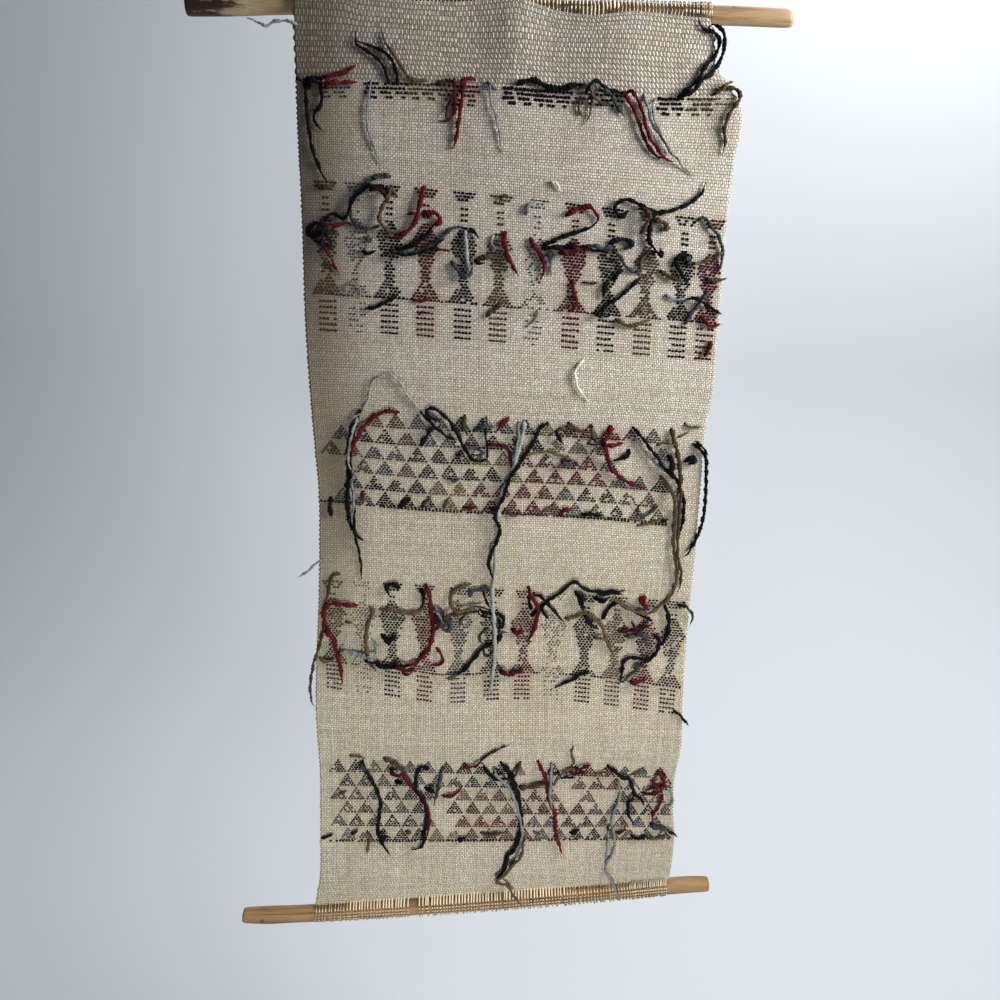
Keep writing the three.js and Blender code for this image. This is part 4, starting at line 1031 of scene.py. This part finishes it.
BAND_4_ENDS = [
    ("brown", 3.5, (-125, 459), (-130, 458.5), (-132.5, 464), (-135.5, 478), (-137.5, 491),
     (-139.5, 507), (-141.5, 517), (-145, 530), (-149, 541.5), (-151.5, 553), (-153.5, 567),
     (-153, 580), (-151, 586.5)),
    ("red", 5, (-110.5, 488), (-120, 486.5), (-130, 485), (-136.5, 487.5), (-138.5, 495), (-138, 503),
     (-139.5, 510)),
    ("red", 4.6, (-137.5, 510), (-131.5, 518.5), (-129, 529.5), (-126, 543), (-124.5, 554.5), (-124, 564)),
    ("black", 5, (-71, 470.5), (-77.5, 466), (-82.5, 469), (-81, 477)),
    ("olive", 4.2, (-99, 489), (-95, 492), (-98, 501.5), (-101, 513), (-101.5, 526), (-100.5, 537),
     (-98, 545.5), (-92.5, 551)),
    ("olive", 4.6, (-89, 491), (-79, 490), (-70, 492.5), (-60.5, 494), (-52, 490.5), (-48, 484)),
    ("black", 4.5, (-53, 471), (-49, 477), (-51, 486)),
    ("red", 4.8, (-47.5, 467.5), (-44, 476), (-43, 488), (-42, 497.5), (-40.5, 507), (-41.5, 518.5),
     (-45.5, 530), (-51.5, 537), (-56, 543.5), (-58, 548)),
    ("red", 3.6, (-54, 541), (-60, 543), (-66, 546), (-68.5, 551.5), (-64.5, 554.5), (-60.5, 551),
     (-59, 545)),
    ("red", 3.4, (-37, 528), (-32.5, 535), (-31.5, 540.5), (-35, 544.5), (-41.5, 544)),
    ("black", 3, (-104, 540.5), (-95, 541.5), (-88, 545)),
    ("black", 6, (-92, 543), (-84, 546), (-75, 545.5), (-67, 543.5)),
    ("maroon", 4.5, (-76, 542.5), (-68, 545), (-62, 546), (-56, 545)),
    ("grey", 4.5, (-124, 532), (-113, 533.5), (-101, 536)),
    ("grey", 3, (-101, 536), (-93, 534.5), (-93, 526), (-97, 520)),
    ("slate", 4.5, (-126, 530.5), (-120, 528)),
    ("olive", 4.2, (-145, 539), (-139, 542), (-131, 539.5)),
    ("brown", 3.2, (-120, 504), (-114, 504.5)),
    ("black", 6, (-87, 516.5), (-80.5, 521), (-74, 514)),
    ("slate", 4.5, (-41, 488), (-34, 491.5), (-31, 499), (-26.5, 507)),
    ("slate", 4, (-37, 497), (-33, 506), (-27, 509), (-24.5, 503), (-29, 496)),
    ("maroon", 4.5, (-39, 496), (-36, 502), (-38, 508)),
    ("brown", 5, (-31, 497.5), (-25, 492.5), (-16, 493), (-7, 492), (2, 490.5)),
    ("black", 4.5, (2, 490), (11, 492), (20, 494), (23.5, 498.5), (23, 505), (19, 509)),
    ("black", 3, (0, 492), (8, 494), (17, 498), (20, 503), (17, 507)),
    ("olive", 4.6, (-7, 465.5), (-15, 467), (-22.5, 472), (-25, 479), (-23, 486), (-17.5, 489),
     (-10, 488), (-1, 485.5), (8, 486)),
    ("slate", 5, (-8, 477), (-7, 472), (-1.5, 470), (6, 469), (12, 471.5)),
    ("black", 3, (4, 470), (7, 479), (11, 484.5)),
    ("olive", 3, (-13, 497), (-16, 503), (-17, 508)),
    ("black", 4.8, (22, 513), (18, 519.5), (10.5, 523), (4.5, 526.5), (-1.5, 534.5), (-7.5, 543),
     (-15, 551.5), (-22.5, 556)),
    ("olive", 4.5, (-18, 552), (-23, 555), (-28, 556)),
    ("slate", 3, (10, 508), (4, 512), (2, 518), (6, 521)),
    ("slate", 2.6, (6, 528), (7, 534), (12, 535), (14, 530), (10, 526)),
    ("slate", 4, (18, 546), (24, 548)),
    ("black", 4, (49, 495), (52.5, 489.5), (58.5, 484), (63.5, 478.5), (70.5, 474), (76, 469),
     (81, 463.5), (85.5, 460.5), (90, 462.5), (95.5, 467), (102, 469), (113, 469.5), (122, 469),
     (132.5, 469)),
    ("black", 3.4, (106, 470.5), (116, 471), (124, 470), (130, 471)),
    ("black", 4, (49, 489), (46, 482), (46.5, 477), (50.5, 474), (57, 475.5), (61.5, 480),
     (68.5, 488.5), (73.5, 494.5), (77, 499)),
    ("red", 4.6, (45.5, 467.5), (48, 475), (53.5, 483.5), (54, 491), (52.5, 504), (50, 512), (46, 520.5)),
    ("black", 4.5, (57.5, 487), (61.5, 492.5), (64, 496)),
    ("olive", 4.2, (80, 497), (88, 495), (96, 490.5), (103.5, 493.5), (111, 500), (115.5, 507.5),
     (119.5, 519), (125, 528), (130.5, 526.5)),
    ("olive", 4, (108, 515), (114, 514), (118.5, 517)),
    ("black", 5, (88, 471), (92, 478), (96, 488)),
    ("black", 5.5, (90, 474), (98, 476)),
    ("black", 6, (106, 477), (112, 476.5), (117.5, 473.5)),
    ("black", 4.5, (97, 494), (102, 500), (108, 503)),
    ("black", 4.4, (114, 497), (117.5, 488), (121.5, 482), (127, 480), (135, 484.5), (143, 488),
     (151, 493), (160, 498)),
    ("red", 4.2, (148, 482), (147.5, 476), (152, 474.5), (150, 480), (153.5, 485), (157, 488)),
    ("maroon", 5, (129, 508), (137, 507), (144.5, 505.5), (152, 502.5), (158.5, 500)),
    ("maroon", 4, (142, 500), (145, 506)),
    ("olive", 5, (136, 514), (142, 513), (147, 512)),
    ("slate", 6, (148, 509), (154, 513), (156, 520)),
    ("black", 5, (171, 483), (174.5, 494), (175, 506.5), (172, 516.5), (167.5, 524)),
    ("black", 4.5, (162, 511), (167, 515.5), (165.5, 525), (162.5, 533), (158, 538)),
    ("black", 4.5, (160.5, 536), (149, 534), (140, 534), (136, 537.5), (135, 546.5), (134.5, 558.5)),
    ("slate", 3, (134.5, 558.5), (139.5, 554.5), (147.5, 549), (150.5, 542.5)),
    ("slate", 4, (145, 545), (151, 541), (158, 542)),
    ("red", 5, (143.5, 559), (151, 558), (159, 555.5)),
    ("black", 4.5, (104, 549), (95, 552), (88.5, 557), (81, 560.5), (73, 565.5)),
    ("maroon", 6, (21, 547.5), (29, 551.5), (36, 550), (43.5, 547)),
    ("maroon", 6, (32, 509), (36, 511), (41, 508.5)),
    ("slate", 3, (17, 509), (28, 510)),
    ("black", 5.5, (183, 481.5), (191, 483)),
    ("slate", 3, (190, 483), (195, 488), (197, 494.5), (196, 500.5)),
]
BAND_5_ENDS = [
    ("olive", 2.6, (-119, 639), (-110, 638.5), (-104, 642)),
    ("black", 4, (-106, 643), (-105.5, 650), (-101, 658), (-96, 667), (-92, 677.5), (-89.5, 688.5),
     (-90.5, 700), (-92, 713), (-91, 726), (-86.5, 737), (-81, 746)),
    ("slate", 5, (-108, 646), (-103, 652)),
    ("brown", 4.5, (-86, 641), (-77, 644), (-69, 651), (-65, 660), (-60.5, 669), (-54.5, 675.5)),
    ("red", 4, (-69, 652), (-64, 662), (-58, 670), (-51, 678), (-46, 690), (-43, 701), (-43, 715),
     (-45, 726)),
    ("maroon", 5, (-49, 721), (-44, 727)),
    ("black", 4.2, (-44, 652), (-50, 649), (-54, 654), (-55.5, 663), (-54.5, 671), (-50.5, 680),
     (-46.5, 689), (-45, 700), (-46, 713), (-47.5, 725.5), (-50, 734), (-54, 739), (-60, 739.5)),
    ("maroon", 5, (-80, 653), (-74, 655), (-68, 651)),
    ("black", 4.5, (-76, 666), (-68, 667)),
    ("slate", 4, (-30, 650), (-32.5, 662), (-34, 671), (-36, 680.5), (-38, 690)),
    ("black", 5.5, (-47, 673), (-41, 672), (-37, 675)),
    ("red", 4, (-31, 681), (-21, 680), (-15, 675.5), (-12, 672)),
    ("red", 5, (-11, 648), (-5, 648.5), (0, 647.5)),
    ("maroon", 3.2, (-1, 647.5), (4, 643.5), (12, 635.5), (24, 628), (32.5, 625)),
    ("black", 4, (-146.5, 729), (-141, 725.5), (-135.5, 724)),
    ("maroon", 5, (-118.5, 723.5), (-112, 719)),
    ("olive", 3.5, (-102.5, 721), (-100, 728.5), (-102, 735.5), (-103, 745)),
    ("black", 5.5, (-93, 720), (-88, 723.5), (-82, 724)),
    ("brown", 5, (-65, 721), (-60, 722)),
    ("black", 5, (-14, 730.5), (-10, 727), (-5.5, 725)),
    ("brown", 4, (8, 722), (18, 722.5), (30, 720.5)),
    ("slate", 3.5, (-128, 679), (-122, 677)),
    ("black", 5.2, (25, 644), (32, 651.5), (36.5, 659.5), (40, 670.5), (43, 679.5), (44.5, 692),
     (46.5, 703), (46, 714), (44, 725.5), (41.5, 736.5), (34.5, 746), (32.5, 755), (30.5, 763), (24, 772)),
    ("black", 4.5, (33, 655), (37.5, 665), (41.5, 676)),
    ("brown", 4, (44.5, 643.5), (41, 650), (37.5, 656)),
    ("black", 5, (10, 650.5), (15.5, 657.5), (23, 659.5), (31, 655)),
    ("grey", 3, (18, 650), (27, 659), (34.5, 668.5), (41, 685), (46, 706), (48, 718), (46, 733),
     (43, 746), (37.5, 756.5), (31, 765), (22, 777)),
    ("olive", 4, (49, 725), (48.5, 736.5), (44.5, 747), (37.5, 755.5), (30, 764), (24.5, 769),
     (27.5, 772.5), (33.5, 775.5), (39, 782), (44.5, 789), (49.5, 795.5)),
    ("brown", 5.5, (44.5, 671), (54, 669), (69.5, 665.5)),
    ("red", 4.6, (60.5, 642.5), (65.5, 653), (70, 663), (71.5, 675.5), (74, 686.5), (78.5, 696),
     (80, 708), (81, 719.5), (84, 730.5), (88, 743)),
    ("grey", 4, (74, 645), (73, 660), (73, 676), (76, 690)),
    ("olive", 3.6, (74, 664), (80, 656), (88, 651.5), (98, 649)),
    ("maroon", 4.5, (97, 649), (104, 647), (112, 645)),
    ("maroon", 4, (91, 651.5), (99, 653), (107.5, 655)),
    ("black", 3, (80, 655), (91, 656), (97, 659.5)),
    ("olive", 3, (96, 646), (94.5, 640), (92, 634), (93.5, 626)),
    ("black", 4.5, (128, 645.5), (136.5, 653), (143, 658), (149.5, 660), (153, 669), (156, 676.5),
     (163, 683.5), (166, 689)),
    ("black", 4, (155, 676), (151, 683.5), (150.5, 694), (153, 703), (157.5, 710.5)),
    ("olive", 3, (117, 655.5), (123, 652.5), (129, 650)),
    ("olive", 5, (153, 655.5), (158, 652), (163, 651)),
    ("grey", 3, (138.5, 661), (141.5, 675), (140.5, 686), (137, 696.5), (135.5, 707.5), (138, 718.5),
     (140, 731.5), (138.5, 743), (134, 751.5), (132.5, 762), (137, 769), (140.5, 775), (143.5, 781.5),
     (147.5, 790)),
    ("grey", 2.6, (133, 714), (133, 733), (132, 751)),
    ("red", 5.5, (176.5, 652.5), (182, 658), (183.5, 665), (176, 668), (172.5, 662.5), (177, 659)),
    ("maroon", 5, (164.5, 676), (172.5, 672.5), (180, 669)),
    ("red", 3.6, (180.5, 669), (181, 683.5), (179.5, 692.5), (176, 698), (175.5, 710)),
    ("slate", 5, (174.5, 710.5), (183, 714), (191, 715)),
    ("black", 3.4, (190, 715), (197.5, 720), (201.5, 724.5)),
    ("black", 4, (155.5, 723), (162.5, 725.5), (171, 723.5)),
    ("olive", 3, (171, 724), (181, 726.5), (189, 723)),
    ("grey", 3, (187, 669), (191, 673), (193.5, 683), (191.5, 689.5), (186, 690)),
    ("black", 5.5, (95.5, 721), (100, 718), (104.5, 715.5)),
    ("maroon", 5, (141, 720.5), (150, 715.5)),
    ("brown", 4, (131, 716), (136, 713)),
    ("olive", 4.5, (60, 720.5), (65, 721)),
]
# the lower bands' ends were left first, so the upper ones lie over them
BANDS = [
    ("band_5", BAND_5_ENDS), ("band_4", BAND_4_ENDS), ("band_3", BAND_3_ENDS), ("band_2", BAND_2_ENDS),
    ("band_1", BAND_1_ENDS),
]
tail_chance = np.random.default_rng(31)
pile = np.zeros(MAP_SHAPE)       # how high yarn already lies on the cloth


def tail_path(places):
    """The way a yarn end takes over the cloth: an easy curve through its places, with small kinks."""
    places = np.array(places, float)
    padded = np.concatenate([[2 * places[0] - places[1]], places, [2 * places[-1] - places[-2]]])
    path = []
    for a, b, c, d in zip(padded, padded[1:], padded[2:], padded[3:]):
        steps = max(2, round(np.linalg.norm(c - b) / TAIL_STEP))
        for t in np.arange(steps) / steps:
            path.append(0.5 * (2 * b + (c - a) * t + (2 * a - 5 * b + 4 * c - d) * t * t
                               + (3 * b - a - 3 * c + d) * t ** 3))
    path = np.array([*path, places[-1]])
    far = np.arange(len(path)) * TAIL_STEP
    for axis in (0, 1):
        wave = tail_chance.uniform(9, 17)
        path[:, axis] += 0.25 * np.sin(2 * math.pi * far / wave + tail_chance.uniform(0, 6.3))
    return path[:, 0], path[:, 1]


def pile_near(x, down, reach):
    """The part of the pile's map within reach of a place."""
    row = int(np.clip(down + MAP_FROM[0], reach, MAP_SHAPE[0] - 1 - reach))
    column = int(np.clip(x + MAP_FROM[1], reach, MAP_SHAPE[1] - 1 - reach))
    return pile[row - reach:row + reach + 1, column - reach:column + reach + 1]


def lie_on_pile(xs, downs, radius, arch):
    """How far the middle of a yarn stands off the cloth: over what lies there, and sunk in at its root."""
    span = np.linspace(0, 1, len(xs))
    stand = radius + TAIL_LIE + arch * np.sin(math.pi * span ** 0.8)
    reach = int(math.ceil(radius))
    for i, (x, down) in enumerate(zip(xs, downs)):
        under = pile_near(x, down, reach).max()
        if under > 0 and i > 1:
            stand[i] = max(stand[i], min(under + 0.75 * radius, TAIL_MOST))
        if down > read(BOTTOM_STICK, 1, x) - LOOPS_ABOVE and LOOPS_FROM_TO[0] < x < LOOPS_FROM_TO[1]:
            stand[i] = max(stand[i], OVER_LOOPS)
    for i in range(1, len(stand)):
        stand[i] = max(stand[i], stand[i - 1] - TAIL_CLIMB * TAIL_STEP)
    for i in range(len(stand) - 2, 0, -1):
        stand[i] = max(stand[i], stand[i + 1] - TAIL_CLIMB * TAIL_STEP)
    stand[0] = -0.2
    stand[1] = 0.7 * stand[min(2, len(stand) - 1)]
    return stand


def hair(start, way, out, long):
    """One fine loose fibre that leaves a yarn."""
    bend = start + (out * 0.55 + way * tail_chance.uniform(-0.5, 0.8)) * long * 0.5
    stray = out * 0.2 + way * tail_chance.uniform(-0.6, 1.0) + tail_chance.normal(0, 0.25, 3)
    tip = bend + stray * long * 0.5
    return sweep([start, bend, tip], (HAIR_RADIUS, HAIR_RADIUS, 0.3 * HAIR_RADIUS), 50.0, 3, 0.0)


def hairs(points, radii, how_many):
    """The fuzz of a yarn, and the frayed fibres at its tip."""
    made = []
    for _ in range(how_many):
        at = tail_chance.integers(1, len(points) - 1)
        way = points[at] - points[at - 1]
        way = way / np.linalg.norm(way)
        out = tail_chance.normal(size=3)
        out -= way * np.dot(out, way)
        out /= np.linalg.norm(out)
        out[1] = -abs(out[1]) * 0.7
        made.append(hair(points[at] + out * radii[at] * 0.6, way, out, tail_chance.uniform(1.5, 4.5)))
    way = points[-1] - points[-2]
    way = way / np.linalg.norm(way)
    for _ in range(FRAYED):
        spread = tail_chance.normal(0, 0.45, 3)
        spread[1] = -abs(spread[1]) * 0.5
        made.append(hair(points[-2], way, way + spread, tail_chance.uniform(3, 7)))
    return made


def build_tail(thick, places):
    """One yarn end, with its lumps, a thin tip and its fuzz, laid on what is there already."""
    radius = YARN_FILL * thick
    xs, downs = tail_path(places)
    travelled = np.concatenate([[0], np.cumsum(np.hypot(np.diff(xs), np.diff(downs)))])
    long = travelled[-1]
    stand = lie_on_pile(xs, downs, radius, tail_chance.uniform(0.1, 0.7) + 0.02 * min(long, 60))
    points = np.stack([xs, face_y(xs, downs) - stand, -downs], axis=1)
    lump = 2 * math.pi * travelled / tail_chance.uniform(8, 15) + tail_chance.uniform(0, 6.3)
    lump = 1 + 0.24 * np.sin(lump)
    lump += tail_chance.normal(0, 0.06, len(xs))
    fade = 6 if long < 35 else 20
    radii = radius * lump * np.clip(0.7 + travelled / 5, 0, 1)
    radii = radii * np.clip(0.28 + (long - travelled) / fade, 0, 1)
    for x, down, high in zip(xs, downs, stand):
        patch = pile_near(x, down, 1)
        np.maximum(patch, high + 0.8 * radius, out=patch)
    body = sweep(points, radii, TAIL_TWIST)
    return [body, *hairs(points, radii, int(long / HAIR_EVERY))]


for band, ends in BANDS:
    parts = []
    colours = []
    for colour, thick, *places in ends:
        made = build_tail(thick, places)
        parts += made
        colours += [YARN_NAMES.index(colour)] * len(made)
    tail_points, tail_faces, owner = gather(parts)
    owner_colours = [colours[k] for k in owner]
    piece = make_piece(band + "_yarn_ends", tail_points, tail_faces, list(YARNS.values()), owner_colours)
    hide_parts(band + "_tails")

# Single ends away from the bands: hand-spun yarn that ran out while the plain ground was woven, and was
# left hanging on this side like the others.
LOOSE_ENDS = [
    ("loose_end_upper_left", "ash", 2.8, (-148, 18), (-158, 16.5), (-165, 17.5), (-172, 20.5),
     (-178, 18), (-186, 15.5)),
    ("loose_end_below_band_2", "cream", 3.2, (85, 264), (80, 268), (77, 275), (79, 284), (83, 291),
     (90, 298)),
    ("loose_end_left", "grey", 2.6, (-140, 445), (-147, 450), (-153, 456), (-160, 461)),
    ("loose_end_right", "black", 3.2, (187.5, 588), (194, 592.5), (202, 602.5)),
]
for node, colour, thick, *places in LOOSE_ENDS:
    end_points, end_faces, _ = gather(build_tail(thick, places))
    piece = make_piece(node + "_yarn", end_points, end_faces, [YARNS[colour]])
    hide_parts(node)

# The studio: one sheet of pale paper, which lies as a floor well below the hanging and curves up into a
# wall well behind it.
FLOOR_Z = -1.35
WALL_Y = 2.3
FRONT_Y = -4.0
COVE = 1.0
STUDIO_HALF = 5.0
WALL_TOP = 4.0
profile = [(FRONT_Y, FLOOR_Z), (WALL_Y - COVE, FLOOR_Z)]
for t in np.linspace(0.08, math.pi / 2, 20):
    profile.append((WALL_Y - COVE + COVE * math.sin(t), FLOOR_Z + COVE - COVE * math.cos(t)))
profile.append((WALL_Y, WALL_TOP))
studio_mesh = bpy.data.meshes.new("studio")
studio_points = [(x, y, z) for y, z in profile for x in (-STUDIO_HALF, STUDIO_HALF)]
studio_faces = [(2 * k, 2 * k + 1, 2 * k + 3, 2 * k + 2) for k in range(len(profile) - 1)]
studio_mesh.from_pydata(studio_points, [], studio_faces)
studio_mesh.polygons.foreach_set("use_smooth", [True] * len(studio_mesh.polygons))
studio_paper, _, paper_surface = start_material("pale_paper", 0.9)
paper_surface.inputs["Base Color"].default_value = srgb(222, 226, 230)
studio_mesh.materials.append(studio_paper)
studio = put_in_scene("studio", studio_mesh)

# Soft studio light: a lamp close by at the upper right, which brings out the weave, a wash over the wall,
# and a low round lamp that opens the shade at the foot. The air gives a weak cool light from all round.
# each lamp: name, kind, place, what it looks at, power in watts, and how wide and soft it is
LAMPS = [
    ("key", "AREA", (0.62, -0.32, -0.02), (0.08, 0.0, -0.2), 7.6, {"size": 0.3}),
    ("wall_wash", "AREA", (1.6, 0.6, 2.0), (1.3, 2.2, -0.8), 96, {"size": 2.5}),
    ("low_fill", "SPOT", (0.15, -1.3, -0.92), (0.03, 0.0, -0.68), 56,
     {"spot_size": math.radians(46), "spot_blend": 1.0, "shadow_soft_size": 0.12}),
]
AIR_COLOUR = (0.86, 0.92, 1.0, 1)
AIR_STRENGTH = 0.17


def set_up(thing, place, right, up, back):
    rotation = Matrix([[right[i], up[i], back[i]] for i in range(3)]).to_4x4()
    thing.matrix_world = Matrix.Translation(place) @ rotation


for name, kind, place, target, power, spread in LAMPS:
    lamp = bpy.data.lights.new(name, kind)
    lamp.energy = power
    for setting, value in spread.items():
        setattr(lamp, setting, value)
    back = np.array(place, float) - np.array(target, float)
    back /= np.linalg.norm(back)
    right = np.cross((0, 0, 1), back)
    right /= np.linalg.norm(right)
    set_up(put_in_scene(name, lamp), place, right, np.cross(back, right), back)
world = bpy.data.worlds.new("studio_air")
world.use_nodes = True
world.node_tree.nodes["Background"].inputs["Color"].default_value = AIR_COLOUR
world.node_tree.nodes["Background"].inputs["Strength"].default_value = AIR_STRENGTH
bpy.context.scene.world = world
bpy.context.scene.view_settings.view_transform = "Standard"

# The camera stands close to the hanging and a little left of its middle, tilted down and turned slightly
# to the right, with a fairly wide lens.
CAMERA_PLACE = (-0.0055, -0.6559, -0.2395)
YAW = math.radians(2.0)
PITCH = math.radians(12.9)
ROLL = math.radians(1.684)
FRAME_WIDE = 36
LENS_SHARE = 0.751      # the lens for each millimetre of the frame's width
ahead = np.array([math.sin(YAW) * math.cos(PITCH), math.cos(YAW) * math.cos(PITCH), -math.sin(PITCH)])
level_right = np.cross(ahead, (0, 0, 1))
level_right /= np.linalg.norm(level_right)
level_down = np.cross(ahead, level_right)
camera_right = level_right * math.cos(ROLL) - level_down * math.sin(ROLL)
camera_down = level_right * math.sin(ROLL) + level_down * math.cos(ROLL)
lens = bpy.data.cameras.new("camera")
lens.sensor_width = FRAME_WIDE
lens.lens = LENS_SHARE * FRAME_WIDE
lens.clip_start = 0.01
camera = put_in_scene("camera", lens)
set_up(camera, CAMERA_PLACE, camera_right, -camera_down, -ahead)
bpy.context.scene.camera = camera
